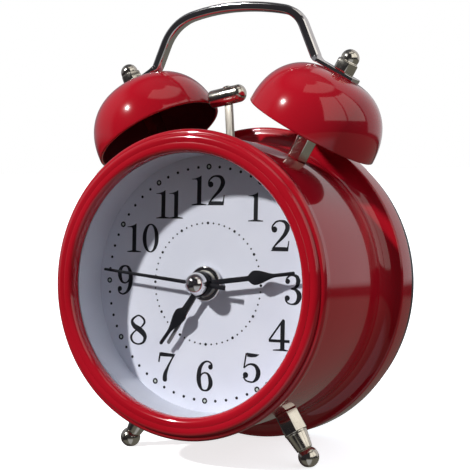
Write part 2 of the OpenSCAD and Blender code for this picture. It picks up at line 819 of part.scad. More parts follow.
module battery_contacts() {
  tall = tray_half_h - 1;
  deep = battery_r - 1.5;
  color(nickel) for (s = [-1, 1]) {
    near = s * (tray_half_l - contact_t);
    far = s * tray_half_l;
    block(
      min(near, far), max(near, far), battery_y - deep, battery_y + deep,
      -battery_drop - tall, -battery_drop + tall
    );
    translate([s * battery_len / 2, battery_y, -battery_drop]) rotate([0, s * 90, 0])
      cylinder(r = button_r, h = contact_gap - contact_t);
  }
}

// Wheels and hands
module wheel_bore(r) {
  difference() {
    children();
    disc(r, -lens_front, move_back_y);
  }
}
module second_wheel() {
  color(cream) {
    gear(second_teeth, second_module, layer(5), gear_t);
    pinion(second_pinion_teeth, third_module, layer(4), 0, 0, gap_at(270, second_pinion_teeth));
    disc(second_r, second_hand_y - hand_t / 2, move_back_y - 0.6);
  }
}
module centre_wheel() {
  color(cream) wheel_bore(minute_in) {
    gear(centre_teeth, centre_module, layer(3), gear_t, 0, 0, -90);
    pinion(cannon_teeth, motion_module, layer(2), 0, 0, 180 - stem_angle);
    disc(minute_r, minute_hand_y - hand_t / 2 - hand_proud, layer(3) + gear_t);
  }
}
module hour_wheel() {
  color(cream) wheel_bore(hour_in) {
    gear(hour_teeth, motion_module, layer(1), gear_t, 0, 0, 180 - stem_angle);
    disc(hour_r, hour_hand_y - hand_t / 2 - hand_proud, layer(1) + gear_t);
  }
}
module alarm_wheel() {
  color(cream) wheel_bore(alarm_in) {
    gear(alarm_teeth, alarm_module, layer(0), gear_t, 0, 0, stem_angle);
    disc(alarm_r, alarm_hand_y - hand_t / 2 - hand_proud, layer(0) + gear_t);
  }
}
module third_wheel() {
  color(cream) {
    gear(third_teeth, third_module, layer(4), gear_t, 0, -third_reach, 90);
    pinion(third_pinion_teeth, centre_module, layer(3), 0, -third_reach, gap_at(90, third_pinion_teeth));
    disc(fine_arbor_r, layer(3) - pinion_extra, move_back_y - 0.6, 0, -third_reach);
  }
}
module motion_wheel() {
  color(cream) {
    pinion(
      motion_pinion_teeth, motion_module, layer(1), -stem_x, stem_z,
      gap_at(-stem_angle, motion_pinion_teeth)
    );
    gear(motion_teeth, motion_module, layer(2), gear_t, -stem_x, stem_z, gap_at(-stem_angle, motion_teeth));
    disc(pivot_r, plate_in_y - 0.8, layer(2), -stem_x, stem_z);
    disc(stem_r, layer(1) + gear_t, stem_end_y, -stem_x, stem_z);
  }
}
module alarm_stem() {
  color(cream) {
    pinion(
      alarm_pinion_teeth, alarm_module, layer(0), stem_x, stem_z,
      gap_at(180 + stem_angle, alarm_pinion_teeth)
    );
    disc(pivot_r, plate_in_y - 0.8, layer(0), stem_x, stem_z);
    disc(stem_r, layer(0), stem_end_y, stem_x, stem_z);
  }
}
module hand_blade(y, angle, bore_r) {
  rotate([0, angle, 0]) slab(hand_t, y - hand_t / 2) difference() {
    union() {
      circle(r = collet_r);
      children();
    }
    circle(r = bore_r);
  }
}
// One side of a spade hand: a slim bar, a round shoulder, a long taper and a blunt tip
function spade_side(len, swell_at, bar_w, tip_w, w) = concat(
  [[bar_w / 2, 0]],
  [for (t = steps(0, 1)) [(bar_w + (w - bar_w) * sin(90 * t)) / 2, swell_at - (1 - t) * w * 0.52]],
  [for (t = steps(0.05, 1)) [(tip_w + (w - tip_w) * (1 + cos(180 * t)) / 2) / 2, swell_at + t * w * 1.65]],
  [[tip_w / 2, len - tip_w / 4], [tip_w / 4, len]]
);
module spade(len, swell_at, bar_w, tip_w, w) {
  side = spade_side(len, swell_at, bar_w, tip_w, w);
  polygon(concat(side, mirrored(side)));
}
module hour_hand() {
  color(black) hand_blade(hour_hand_y, hour_angle, hour_r + push_fit)
    spade(hour_len, hour_len * 0.51, 1.4, 1, spade_w);
}
module minute_hand() {
  color(black) hand_blade(minute_hand_y, minute_angle, minute_r + push_fit)
    spade(minute_len, minute_len * 0.59, 1.4, 0.95, spade_w);
}
module second_hand() {
  tail_w = 1.2;
  tip_w = 0.75;
  color(black) hand_blade(second_hand_y, second_angle, second_r + push_fit) {
    polygon([
      [-tail_w / 2, -second_tail], [tail_w / 2, -second_tail],
      [tip_w / 2, second_len], [-tip_w / 2, second_len]
    ]);
  }
}
module alarm_hand() {
  bar_w = 1;
  color(grey) hand_blade(alarm_hand_y, alarm_angle, alarm_r + push_fit)
    translate([-bar_w / 2, 0]) square([bar_w, alarm_len]);
}
module hub_cap() {
  base = second_hand_y - hand_t / 2;
  color(chrome) spun(concat(
    [[0, base]],
    [for (a = steps(-asin(cap_sink / cap_r), 90)) [cap_r * cos(a), base - cap_sink - cap_r * sin(a)]]
  ));
}
module knob(x) {
  flutes = 18;
  flute_r = 0.5;
  color(black) difference() {
    disc(knob_d / 2, knob_y, knob_y + knob_h, x, stem_z);
    disc(stem_r + push_fit, knob_y - 1, stem_end_y, x, stem_z);
    for (i = [0 : flutes - 1])
      disc(
        flute_r, knob_y + 1, knob_y + knob_h + 1,
        x + (knob_d / 2 + 0.1) * cos(360 * i / flutes), stem_z + (knob_d / 2 + 0.1) * sin(360 * i / flutes)
      );
  }
}
module time_set_knob() { knob(-stem_x); }
module alarm_set_knob() { knob(stem_x); }

// Hammer, drawn upright on its pivot and leaned towards the left bell
module on_hammer() {
  translate([0, bell_y, hammer_pivot]) rotate([0, -hammer_lean, 0]) children();
}
// Frame at the middle of the head, which tilts on the arm
module on_head() {
  on_hammer() translate([0, 0, hammer_len]) rotate([0, -head_tilt, 0]) children();
}
function head_under(x) = hammer_len - head_d / 2 / cos(head_tilt) + x * tan(head_tilt);
module hammer_arm() {
  outer = fork_half + fork_prong;
  color(steel) on_hammer() difference() {
    union() {
      translate([0, arm_t / 2, 0]) rotate([90, 0, 0]) linear_extrude(arm_t) {
        polygon([
          [-arm_w / 2, 0], [arm_w / 2, 0],
          [arm_w / 2, head_under(arm_w / 2)], [-arm_w / 2, head_under(-arm_w / 2)]
        ]);
        difference() {
          polygon([
            [-arm_w / 2, 0], [-outer, -fork_root], [-outer, -fork_end],
            [outer, -fork_end], [outer, -fork_root], [arm_w / 2, 0]
          ]);
          translate([-fork_half, -fork_end - 1]) square([2 * fork_half, fork_end - fork_root]);
        }
      }
      translate([0, -hub_half, 0]) rotate([-90, 0, 0]) cylinder(r = hub_r, h = 2 * hub_half);
    }
    translate([0, -hub_half - 1, 0]) rotate([-90, 0, 0])
      cylinder(r = pin_r + run_fit, h = 2 * hub_half + 2);
  }
}
module hammer_head() {
  r = head_d / 2;
  half = head_len / 2;
  color(nickel) on_head() difference() {
    rotate([0, 90, 0]) rotate_extrude() polygon(concat(
      [[0, -half]],
      [for (a = steps(90, 0)) [r - head_edge + head_edge * cos(a), -half + head_edge - head_edge * sin(a)]],
      [for (a = steps(0, 90)) [r - head_edge + head_edge * cos(a), half - head_edge + head_edge * sin(a)]],
      [[0, half]]
    ));
    translate([0, 0, -r - 1]) cylinder(r = rivet_r + push_fit, h = head_d + 2);
  }
}
module hammer_rivet() {
  r = head_d / 2;
  color(nickel) on_head() {
    translate([0, 0, -r]) cylinder(r = rivet_r, h = head_d);
    translate([0, 0, r]) cylinder(r1 = rivet_cap_r, r2 = rivet_cap_r - 0.4, h = rivet_cap_h);
  }
}

// Ringer inside the top of the case
function ear_edge(t) =
  ear_in * [sin(bell_angle), cos(bell_angle)] + t * [cos(bell_angle), -sin(bell_angle)];
module ringer_bracket() {
  a = ear_edge(-ear_half_w);
  b = ear_edge(ear_half_w);
  color(steel) difference() {
    union() {
      slab(bracket_t, bracket_y) polygon([
        [-b[0], b[1]], [-a[0], a[1]], a, b,
        [motor_x + motor_r, bracket_low], [-motor_r, bracket_low]
      ]);
      for (s = [-1, 1]) outward(s * bell_angle, 0)
        block(-ear_half_w, ear_half_w, ear_front_y, bracket_y + bracket_t, ear_in, ear_out);
    }
    for (s = [-1, 1]) outward(s * bell_angle, bell_y) cylinder(r = stud_hole_r, h = case_r);
    disc(pin_r + push_fit, bracket_y - 1, bracket_y + bracket_t + 1, 0, hammer_pivot);
    disc(crank_axle_r + push_fit, bracket_y - 1, bracket_y + bracket_t + 1, 0, crank_z);
    disc(motor_shaft_r + 1, bracket_y - 1, bracket_y + bracket_t + 1, motor_x, crank_z);
    for (s = [-1, 1])
      disc(
        small_screw_r + push_fit, bracket_y - 1, bracket_y + bracket_t + 1,
        motor_x, crank_z + s * motor_screw_reach
      );
  }
}
module ringer_pins() {
  color(steel) {
    disc(pin_r, bell_y - hub_half - 0.8, bracket_y + bracket_t, 0, hammer_pivot);
    disc(crank_axle_r, crank_y + crank_web + 0.1, bracket_y + bracket_t, 0, crank_z);
  }
}
module crank_wheel() {
  color(cream) difference() {
    union() {
      gear(crank_teeth, crank_module, crank_y, crank_t, 0, crank_z);
      disc(crank_pin_r, bell_y - arm_t / 2 - 0.3, crank_y + crank_t, 0, crank_z + crank_throw);
    }
    disc(crank_axle_r + run_fit, crank_y + crank_web, crank_y + crank_t + 1, 0, crank_z);
  }
}
module motor_pinion() {
  color(brass) {
    gear(motor_teeth, crank_module, crank_y, crank_t, motor_x, crank_z, gap_at(180, motor_teeth));
    disc(motor_shaft_r, crank_y, bracket_y + bracket_t + 3, motor_x, crank_z);
  }
}
module bell_motor() {
  y0 = bracket_y + bracket_t;
  color(nickel) difference() {
    disc(motor_r, y0, y0 + motor_len, motor_x, crank_z);
    disc(motor_shaft_r + run_fit, y0 - 1, y0 + 3.4, motor_x, crank_z);
    for (s = [-1, 1])
      disc(small_screw_r + push_fit, y0 - 1, y0 + 3, motor_x, crank_z + s * motor_screw_reach);
  }
}
module motor_screws() {
  head_h = 0.6;
  color(steel) for (s = [-1, 1]) {
    disc(small_head_r - 0.4, bracket_y - head_h, bracket_y, motor_x, crank_z + s * motor_screw_reach);
    disc(
      small_screw_r, bracket_y - head_h, bracket_y + bracket_t + 2.6,
      motor_x, crank_z + s * motor_screw_reach
    );
  }
}

// Back cover, door and switch
module back_cover() {
  edge = 0.8;
  color(black) difference() {
    union() {
      spun([
        [0, cover_y], [spigot_r - spigot_wall, cover_y], [spigot_r - spigot_wall, case_end_y - spigot_len],
        [spigot_r, case_end_y - spigot_len], [spigot_r, case_end_y], [cover_r, case_end_y],
        [cover_r, cover_back_y - edge], [cover_r - edge, cover_back_y], [0, cover_back_y]
      ]);
    }
    for (s = [-1, 1]) disc(stem_r + 2 * loose, cover_y - 1, cover_back_y + 1, s * stem_x, stem_z);
    block(
      -nub_w / 2 - switch_travel - loose, nub_w / 2 + loose, cover_y - 1, cover_back_y + 1,
      switch_z - nub_h / 2 - loose, switch_z + nub_h / 2 + loose
    );
    block(
      -door_half_w - loose, door_half_w + loose, cover_y - 1, cover_back_y + 1,
      door_pivot_z - door_pivot_r - loose, -battery_drop + door_half_h + loose
    );
    translate([-door_half_w - door_pin_len - loose, door_pivot_y, door_pivot_z]) rotate([0, 90, 0])
      cylinder(r = door_pin_r + run_fit, h = 2 * (door_half_w + door_pin_len + loose));
    for (p = cover_posts()) {
      disc(screw_r + push_fit, cover_y - 1, cover_back_y + 1, p[0], p[1]);
      disc(screw_head_r + loose, cover_back_y - screw_head_h, cover_back_y + 1, p[0], p[1]);
    }
  }
}
module cover_screws() {
  slot_w = 0.7;
  color(steel) for (p = cover_posts()) difference() {
    union() {
      disc(screw_head_r, cover_back_y - screw_head_h, cover_back_y - 0.2, p[0], p[1]);
      disc(screw_r, cover_y - screw_len + 1, cover_back_y - screw_head_h + 0.5, p[0], p[1]);
    }
    block(p[0] - slot_w / 2, p[0] + slot_w / 2, cover_back_y - 0.8, cover_back_y, p[1] - 3, p[1] + 3);
    block(p[0] - 3, p[0] + 3, cover_back_y - 0.8, cover_back_y, p[1] - slot_w / 2, p[1] + slot_w / 2);
  }
}
module battery_door() {
  top = -battery_drop + door_half_h;
  grip_r = 9;
  color(black) difference() {
    union() {
      block(-door_half_w, door_half_w, cover_y, cover_back_y, door_pivot_z, top);
      translate([-door_half_w, door_pivot_y, door_pivot_z]) rotate([0, 90, 0])
        cylinder(r = door_pivot_r, h = 2 * door_half_w);
      translate([-door_half_w - door_pin_len, door_pivot_y, door_pivot_z]) rotate([0, 90, 0])
        cylinder(r = door_pin_r, h = 2 * (door_half_w + door_pin_len));
    }
    translate([0, cover_back_y + grip_r - 1.2, top - 3]) sphere(r = grip_r);
  }
}
module switch_body() {
  half_h = slider_h / 2 + loose;
  floor_y = cover_y - 2 * slider_gap - slider_t;
  centre = -switch_travel / 2;
  color(grey) difference() {
    block(
      centre - switch_half_w, centre + switch_half_w, floor_y - switch_depth, cover_y,
      switch_z - half_h - switch_lip, switch_z + half_h + switch_lip
    );
    block(
      centre - switch_half_w + 1, centre + switch_half_w - 1, floor_y, cover_y + 1,
      switch_z - half_h, switch_z + half_h
    );
  }
}
module switch_slider() {
  base_y = cover_y - slider_gap - slider_t;
  color(grey) {
    block(
      -slider_w / 2, slider_w / 2, base_y, base_y + slider_t,
      switch_z - slider_h / 2, switch_z + slider_h / 2
    );
    block(
      -nub_w / 2, nub_w / 2, base_y, cover_back_y + nub_out,
      switch_z - nub_h / 2, switch_z + nub_h / 2
    );
  }
}

stand() case_drum();
stand() bezel();
stand() lens();
stand() reflector_ring();
stand() dial();
stand() dial_ring();
stand() dial_nut();
stand() bell_left();
stand() bell_right();
stand() bell_post_left();
stand() bell_post_right();
stand() cap_nuts();
stand() handle();
stand() foot_left();
stand() foot_right();
stand() inner_nuts();
stand() movement_front();
stand() movement_rear();
stand() movement_screws();
stand() circuit_board();
stand() stepper_coil();
stand() stepper_can();
stand() quartz_crystal();
stand() battery();
stand() battery_contacts();
stand() back_cover();
stand() cover_screws();
stand() ringer_bracket();
stand() ringer_pins();
stand() bell_motor();
stand() motor_screws();
stand() switch_body();
stand() second_hand();
stand() hub_cap();
stand() second_wheel();
stand() minute_hand();
stand() centre_wheel();
stand() hour_hand();
stand() hour_wheel();
stand() alarm_hand();
stand() alarm_wheel();
stand() third_wheel();
stand() motion_wheel();
stand() time_set_knob();
stand() alarm_stem();
stand() alarm_set_knob();
stand() hammer_arm();
stand() hammer_head();
stand() hammer_rivet();
stand() crank_wheel();
stand() motor_pinion();
stand() switch_slider();
stand() battery_door();
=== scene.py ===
"""Looks of a twin bell alarm clock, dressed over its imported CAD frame.

Sizes are millimetres in the clock's own frame: x to the viewer's right, y from the dial's
face into the clock and z up the dial. STAND takes them to the row frame, in metres.
"""

import json
import logging
import math
from dataclasses import dataclass
from enum import Enum
from functools import cache, partial
from typing import Any, ClassVar, Iterable, Optional, Sequence

import bmesh
import bpy
from mathutils import Matrix, Vector


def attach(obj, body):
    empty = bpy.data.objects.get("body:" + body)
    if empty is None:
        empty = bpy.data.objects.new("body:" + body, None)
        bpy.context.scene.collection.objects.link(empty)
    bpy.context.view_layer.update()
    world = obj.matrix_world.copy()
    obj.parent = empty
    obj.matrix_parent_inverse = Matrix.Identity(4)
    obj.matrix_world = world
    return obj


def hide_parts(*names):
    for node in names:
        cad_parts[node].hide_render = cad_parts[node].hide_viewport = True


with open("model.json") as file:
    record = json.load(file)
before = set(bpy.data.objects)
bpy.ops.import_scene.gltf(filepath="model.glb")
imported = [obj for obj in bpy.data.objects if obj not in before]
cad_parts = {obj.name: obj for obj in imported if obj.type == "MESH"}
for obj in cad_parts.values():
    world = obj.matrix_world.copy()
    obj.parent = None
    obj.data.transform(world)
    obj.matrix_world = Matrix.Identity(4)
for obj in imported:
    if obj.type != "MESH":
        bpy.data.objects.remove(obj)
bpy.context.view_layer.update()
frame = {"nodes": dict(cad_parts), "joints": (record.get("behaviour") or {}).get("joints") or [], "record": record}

log = logging.getLogger("clock")
Pair = tuple[float, float]
Triple = tuple[float, float, float]
Piece = bpy.types.Object

MILLIMETRE = 0.001


def stand_matrix() -> Matrix:
    """Clock frame in millimetres to row frame in metres, read from the minute hand's joint.

    Returns:
        The matrix that every finished mesh is multiplied by.
    """
    joint = next(j for j in frame["joints"] if j["name"] == "minute_turn")
    across, depth = Vector((1, 0, 0)), Vector(joint["axis"]).normalized()
    turn = Matrix((across, depth, across.cross(depth))).transposed().to_4x4()
    return Matrix.Translation(joint["pos_m"]) @ turn @ Matrix.Scale(MILLIMETRE, 4)


STAND = stand_matrix()
# Frames whose z runs up, into the clock, out of the dial towards the viewer, and to the right
UP = Matrix.Identity(4)
INTO = Matrix.Rotation(math.radians(-90), 4, "X")
FACE = Matrix.Rotation(math.radians(90), 4, "X")
ACROSS = Matrix.Rotation(math.radians(90), 4, "Y")
# Steps round a turned form, from the widest forms to the thinnest
FINE_SEGMENTS = 256
BELL_SEGMENTS = 224
ROUND_SEGMENTS = 192
TURNED_SEGMENTS = 96
SMALL_SEGMENTS = 64
PIN_SEGMENTS = 40
THIN_SEGMENTS = 32
HEX_SIDES = 6
SQUARE = ((-1, -1), (1, -1), (1, 1), (-1, 1))
# Longest part of a side that the rounding of a corner may take
CORNER_SHARE = 0.49
# Angle in degrees from which an edge stays sharp
SHARP = 35.0
HOURS = 12
MINUTES = 60
# Sizes that several sub-assemblies share
DRUM_R = 39.8
CASE_END_Y = 38.5
LENS_FRONT_Y = -11.3
BELL_ANGLE = 30.0
BELL_Y = 13.2
BELL_REACH = 48.1
BELL_H = 17.0
FOOT_ANGLE = 32.0
FOOT_Y = 6.75
STUD_R = 1.5
STUD_IN = 5.0
STUD_HOLE_R = 1.52
TAB_T = 1.2
WHITE = (1.0, 1.0, 1.0, 1.0)


def outward(angle: float, y: float) -> Matrix:
    """Frame whose z points away from the drum's axis, at an angle from upright, at depth y."""
    return Matrix.Translation((0, y, 0)) @ Matrix.Rotation(math.radians(angle), 4, "Y")


def arc(centre: Pair, radii: Pair, start: float, stop: float, steps: int = 12) -> list[Pair]:
    """Points along an ellipse.

    Args:
        centre: Middle of the ellipse.
        radii: Its two half widths.
        start: First angle in degrees.
        stop: Last angle in degrees.
        steps: Number of chords.

    Returns:
        The points from start to stop, both included.
    """
    turns = [math.radians(start + (stop - start) * i / steps) for i in range(steps + 1)]
    return [(centre[0] + radii[0] * math.cos(t), centre[1] + radii[1] * math.sin(t)) for t in turns]


def rounded(points: Sequence[Sequence[float]], loop: bool = True, steps: int = 5) -> list[Pair]:
    """Outline with round corners.

    Args:
        points: Corners as (a, b) or (a, b, radius).
        loop: Whether the outline closes on itself.
        steps: Chords in each corner.

    Returns:
        The outline's points.
    """
    out: list[Pair] = []
    count = len(points)
    for i, corner in enumerate(points):
        here = Vector(corner[:2])
        radius = corner[2] if len(corner) > 2 else 0.0
        if not radius or (not loop and i in (0, count - 1)):
            out.append(tuple(here))
            continue
        before = Vector(points[i - 1][:2]) - here
        after = Vector(points[(i + 1) % count][:2]) - here
        half = before.angle(after) / 2
        reach = min(radius / math.tan(half), CORNER_SHARE * min(before.length, after.length))
        radius = reach * math.tan(half)
        bisector = (before.normalized() + after.normalized()).normalized()
        middle = here + bisector * radius / math.sin(half)
        first = here + before.normalized() * reach - middle
        last = here + after.normalized() * reach - middle
        swing = math.atan2(first.x * last.y - first.y * last.x, first.dot(last))
        for k in range(steps + 1):
            t = swing * k / steps
            c, s = math.cos(t), math.sin(t)
            out.append((middle.x + first.x * c - first.y * s, middle.y + first.x * s + first.y * c))
    return out


def dome(middle: float, radii: Pair, steps: int, start: float = 0.0) -> list[Pair]:
    """The upper part of an ellipse on the axis of a turned form.

    Args:
        middle: Height of the ellipse's middle.
        radii: Its half widths across and along the axis.
        steps: Number of chords.
        start: First angle in degrees.

    Returns:
        The points from the start to the top, which lies on the axis.
    """
    return [*arc((0, middle), radii, start, 90, steps)[:-1], (0.0, middle + radii[1])]


def circle(radius: float, segments: int = 24, x: float = 0.0, y: float = 0.0) -> list[Pair]:
    """A round outline about (x, y)."""
    return arc((x, y), (radius, radius), 0, 360 - 360 / segments, segments - 1)


def hexagon(across_flats: float) -> list[Pair]:
    """A hexagonal outline with a corner on the first axis."""
    return circle(across_flats / 2 / math.cos(math.pi / HEX_SIDES), HEX_SIDES)


def neighbour(points: Sequence[Triple], index: int, loop: bool) -> Vector:
    """The point at an index, which goes round in a loop and stops at the ends of a line."""
    last = len(points) - 1
    return Vector(points[index % (last + 1) if loop else max(0, min(last, index))])


def flowing(points: Sequence[Triple], steps: int = 7, loop: bool = False) -> list[Triple]:
    """A smooth curve through points, by Catmull-Rom splines.

    Args:
        points: Places with a third value that is carried along, such as half a width.
        steps: Points made for each span.
        loop: Whether the curve closes on itself.

    Returns:
        The points along the curve.
    """
    out: list[Triple] = []
    for i in range(len(points) if loop else len(points) - 1):
        a, b, c, d = (neighbour(points, i + k, loop) for k in (-1, 0, 1, 2))
        for k in range(steps):
            t = k / steps
            square = (2 * a - 5 * b + 4 * c - d) * t * t
            cube = (3 * b - a - 3 * c + d) * t ** 3
            out.append(tuple(0.5 * (2 * b + (c - a) * t + square + cube)))
    if not loop:
        out.append(tuple(points[-1]))
    return out


def ahead(heading: float) -> Vector:
    """Unit vector along a heading in degrees."""
    return Vector((math.cos(math.radians(heading)), math.sin(math.radians(heading))))


def leftward(heading: float) -> Vector:
    """Unit vector to the left of a heading in degrees."""
    return Vector((-math.sin(math.radians(heading)), math.cos(math.radians(heading))))


def between(first: float, last: float, steps: int) -> list[float]:
    """Evenly spaced values from the first to the last."""
    return [first + (last - first) * i / steps for i in range(steps + 1)]


def add_node(
    tree: bpy.types.NodeTree, kind: str, inputs: Optional[dict] = None, **settings: Any,
) -> bpy.types.Node:
    """Adds a node to a tree.

    Args:
        tree: The tree.
        kind: Type of the node.
        inputs: Sockets to link from, or plain values, by the input's name or number.
        **settings: The node's own settings, such as its operation.

    Returns:
        The node.
    """
    made = tree.nodes.new(kind)
    for name, value in settings.items():
        setattr(made, name, value)
    for name, value in (inputs or {}).items():
        if isinstance(value, bpy.types.NodeSocket):
            tree.links.new(value, made.inputs[name])
        else:
            made.inputs[name].default_value = value
    return made


class Grain(Enum):
    """How a finish's pattern is stretched along x, y and z."""

    EVEN = (1.0, 1.0, 1.0)
    ALONG_X = (0.04, 1.0, 1.0)
    ALONG_Z = (1.0, 1.0, 0.04)
    DRAWN = (0.25, 1.0, 1.0)


@dataclass(frozen=True)
class Finish:
    """One surface finish: two tones, a roughness range and a fine relief.

    Attributes:
        name: Name of the material.
        tones: Darker and lighter base colour, mixed by noise.
        rough: Lowest and highest roughness.
        metallic: 1 for bare metal.
        coat: Weight of a clear top coat.
        coat_rough: Roughness of that coat.
        grain: Direction of the pattern.
        tone_scale: Noise cells in a metre for the tones.
        relief_scale: Noise cells in a metre for the relief.
        relief: Height of the relief in metres.
        specular: Specular level.
        alpha: Opacity.
    """

    NOISE_DETAIL: ClassVar[float] = 3.0
    NOISE_RANGE: ClassVar[Pair] = (0.3, 0.7)
    TONE_STOPS: ClassVar[Pair] = (0.32, 0.68)
    # Scale of the roughness pattern as a share of the relief's
    WEAR_SHARE: ClassVar[float] = 0.6

    name: str
    tones: tuple[Triple, Triple]
    rough: Pair
    metallic: float = 0.0
    coat: float = 0.0
    coat_rough: float = 0.03
    grain: Grain = Grain.EVEN
    tone_scale: float = 70.0
    relief_scale: float = 500.0
    relief: float = 1e-5
    specular: float = 0.5
    alpha: float = 1.0

    def noise(self, tree: bpy.types.NodeTree, at: bpy.types.NodeSocket, scale: float) -> bpy.types.NodeSocket:
        """Adds a noise texture.

        Args:
            tree: The material's nodes.
            at: Coordinates to read it at.
            scale: Cells in a metre.

        Returns:
            Its value.
        """
        inputs = {"Vector": at, "Scale": scale, "Detail": self.NOISE_DETAIL}
        return add_node(tree, "ShaderNodeTexNoise", inputs).outputs["Fac"]

    @cache
    def build(self) -> bpy.types.Material:
        """Makes the node material, once.

        Returns:
            The finished material.
        """
        material = bpy.data.materials.new(self.name)
        material.use_nodes = True
        tree = material.node_tree
        shader = tree.nodes["Principled BSDF"]
        for socket, value in (
            ("Metallic", self.metallic), ("Coat Weight", self.coat), ("Coat Roughness", self.coat_rough),
            ("Specular IOR Level", self.specular), ("Alpha", self.alpha),
        ):
            shader.inputs[socket].default_value = value
        place = add_node(tree, "ShaderNodeTexCoord").outputs["Object"]
        stretch = add_node(tree, "ShaderNodeMapping", {"Vector": place, "Scale": self.grain.value})
        at = stretch.outputs["Vector"]
        ramp = add_node(tree, "ShaderNodeValToRGB", {"Fac": self.noise(tree, at, self.tone_scale)})
        for stop, tone, where in zip(ramp.color_ramp.elements, self.tones, self.TONE_STOPS):
            stop.color = (*tone, 1.0)
            stop.position = where
        least, most = self.NOISE_RANGE
        wear = add_node(tree, "ShaderNodeMapRange", {
            "Value": self.noise(tree, at, self.relief_scale * self.WEAR_SHARE), "From Min": least,
            "From Max": most, "To Min": self.rough[0], "To Max": self.rough[1],
        })
        height = self.noise(tree, at, self.relief_scale)
        bump = add_node(tree, "ShaderNodeBump", {"Height": height, "Distance": self.relief})
        for source, socket in (
            (ramp.outputs["Color"], "Base Color"), (wear.outputs["Result"], "Roughness"),
            (bump.outputs["Normal"], "Normal"),
        ):
            tree.links.new(source, shader.inputs[socket])
        return material


class Look(Enum):
    """The clock's finishes."""

    RED_ENAMEL = Finish(
        "red_enamel", ((0.41, 0.004, 0.012), (0.49, 0.007, 0.019)), (0.14, 0.20), coat=1.0,
        coat_rough=0.02, tone_scale=28, relief_scale=220, relief=5e-6, specular=0.12,
    )
    # Painted shade: a near-black red for the bells' inner faces, standing for the shade in their hollows
    BELL_PAINTED_SHADE = Finish(
        "bell_inside_painted_shade", ((0.07, 0.002, 0.005), (0.10, 0.003, 0.008)), (0.5, 0.6), tone_scale=60,
        specular=0.2,
    )
    LENS = Finish(
        "lens_sheet", ((0.02, 0.02, 0.025), (0.04, 0.04, 0.05)), (0.02, 0.05), relief=2e-6, alpha=0.035,
    )
    REFLECTOR = Finish(
        "satin_white_ring", ((0.64, 0.66, 0.74), (0.70, 0.72, 0.79)), (0.30, 0.42), relief=6e-6,
    )
    DIAL = Finish(
        "dial_card", ((0.79, 0.81, 0.91), (0.85, 0.87, 0.96)), (0.45, 0.6), relief_scale=1500, relief=4e-6,
    )
    INK = Finish(
        "dial_ink", ((0.004, 0.004, 0.007), (0.010, 0.010, 0.014)), (0.4, 0.5), relief=3e-6, specular=0.3,
    )
    LUME = Finish("lume_dot", ((0.50, 0.56, 0.50), (0.62, 0.67, 0.60)), (0.5, 0.65), relief=6e-6)
    CHROME = Finish(
        "bright_chrome", ((0.70, 0.69, 0.68), (0.80, 0.79, 0.78)), (0.04, 0.10), metallic=1.0,
        tone_scale=200, relief_scale=260, relief=8e-6,
    )
    NICKEL = Finish(
        "warm_nickel", ((0.60, 0.57, 0.50), (0.72, 0.69, 0.61)), (0.10, 0.20), metallic=1.0,
        tone_scale=240, relief_scale=900, relief=6e-6,
    )
    STEEL = Finish(
        "plain_steel", ((0.30, 0.28, 0.24), (0.42, 0.39, 0.34)), (0.30, 0.45), metallic=1.0,
        grain=Grain.ALONG_Z, tone_scale=500, relief_scale=2500, relief=6e-6,
    )
    HAND_BLACK = Finish(
        "hand_enamel", ((0.005, 0.005, 0.008), (0.012, 0.012, 0.016)), (0.28, 0.4), relief=5e-6,
        specular=0.35,
    )
    HAND_GREY = Finish(
        "hand_drawn_steel", ((0.26, 0.26, 0.27), (0.36, 0.36, 0.37)), (0.32, 0.42), metallic=0.6,
        grain=Grain.DRAWN, relief_scale=2500, relief=4e-6,
    )
    NATURAL = Finish("pale_plastic", ((0.72, 0.69, 0.60), (0.80, 0.77, 0.69)), (0.4, 0.55))
    BOARD = Finish("green_board", ((0.02, 0.13, 0.06), (0.05, 0.22, 0.11)), (0.35, 0.5))
    COPPER = Finish(
        "copper_wire", ((0.45, 0.20, 0.09), (0.66, 0.33, 0.16)), (0.25, 0.4), metallic=1.0,
        grain=Grain.ALONG_X, relief_scale=4000, relief=3e-5,
    )
    BRASS = Finish("cut_brass", ((0.58, 0.42, 0.16), (0.72, 0.55, 0.25)), (0.2, 0.32), metallic=1.0)
    SLEEVE = Finish("battery_sleeve", ((0.06, 0.06, 0.07), (0.10, 0.10, 0.11)), (0.2, 0.3), coat=0.5)
    BLACK = Finish(
        "grained_black", ((0.012, 0.012, 0.013), (0.024, 0.024, 0.026)), (0.38, 0.55),
        relief_scale=3000, relief=2.5e-5,
    )
    GREY = Finish("grey_plastic", ((0.40, 0.40, 0.42), (0.50, 0.50, 0.52)), (0.35, 0.5))
    FLOOR = Finish(
        "pale_floor", ((0.80, 0.80, 0.80), (0.84, 0.84, 0.84)), (0.6, 0.75), tone_scale=2, relief_scale=20,
    )

    @property
    def material(self) -> bpy.types.Material:
        """The material of this finish."""
        return self.value.build()


def sharpen(piece: Piece, angle: float = SHARP) -> None:
    """Shades a piece smooth, apart from edges sharper than an angle in degrees."""
    piece.data.shade_smooth()
    piece.data.set_sharp_from_angle(angle=math.radians(angle))


def linked(name: str, data: bpy.types.ID) -> Piece:
    """Makes an object and links it to the scene.

    Args:
        name: Name of the object.
        data: Its mesh, light or camera.

    Returns:
        The object, at the origin.
    """
    made = bpy.data.objects.new(name, data)
    bpy.context.scene.collection.objects.link(made)
    return made


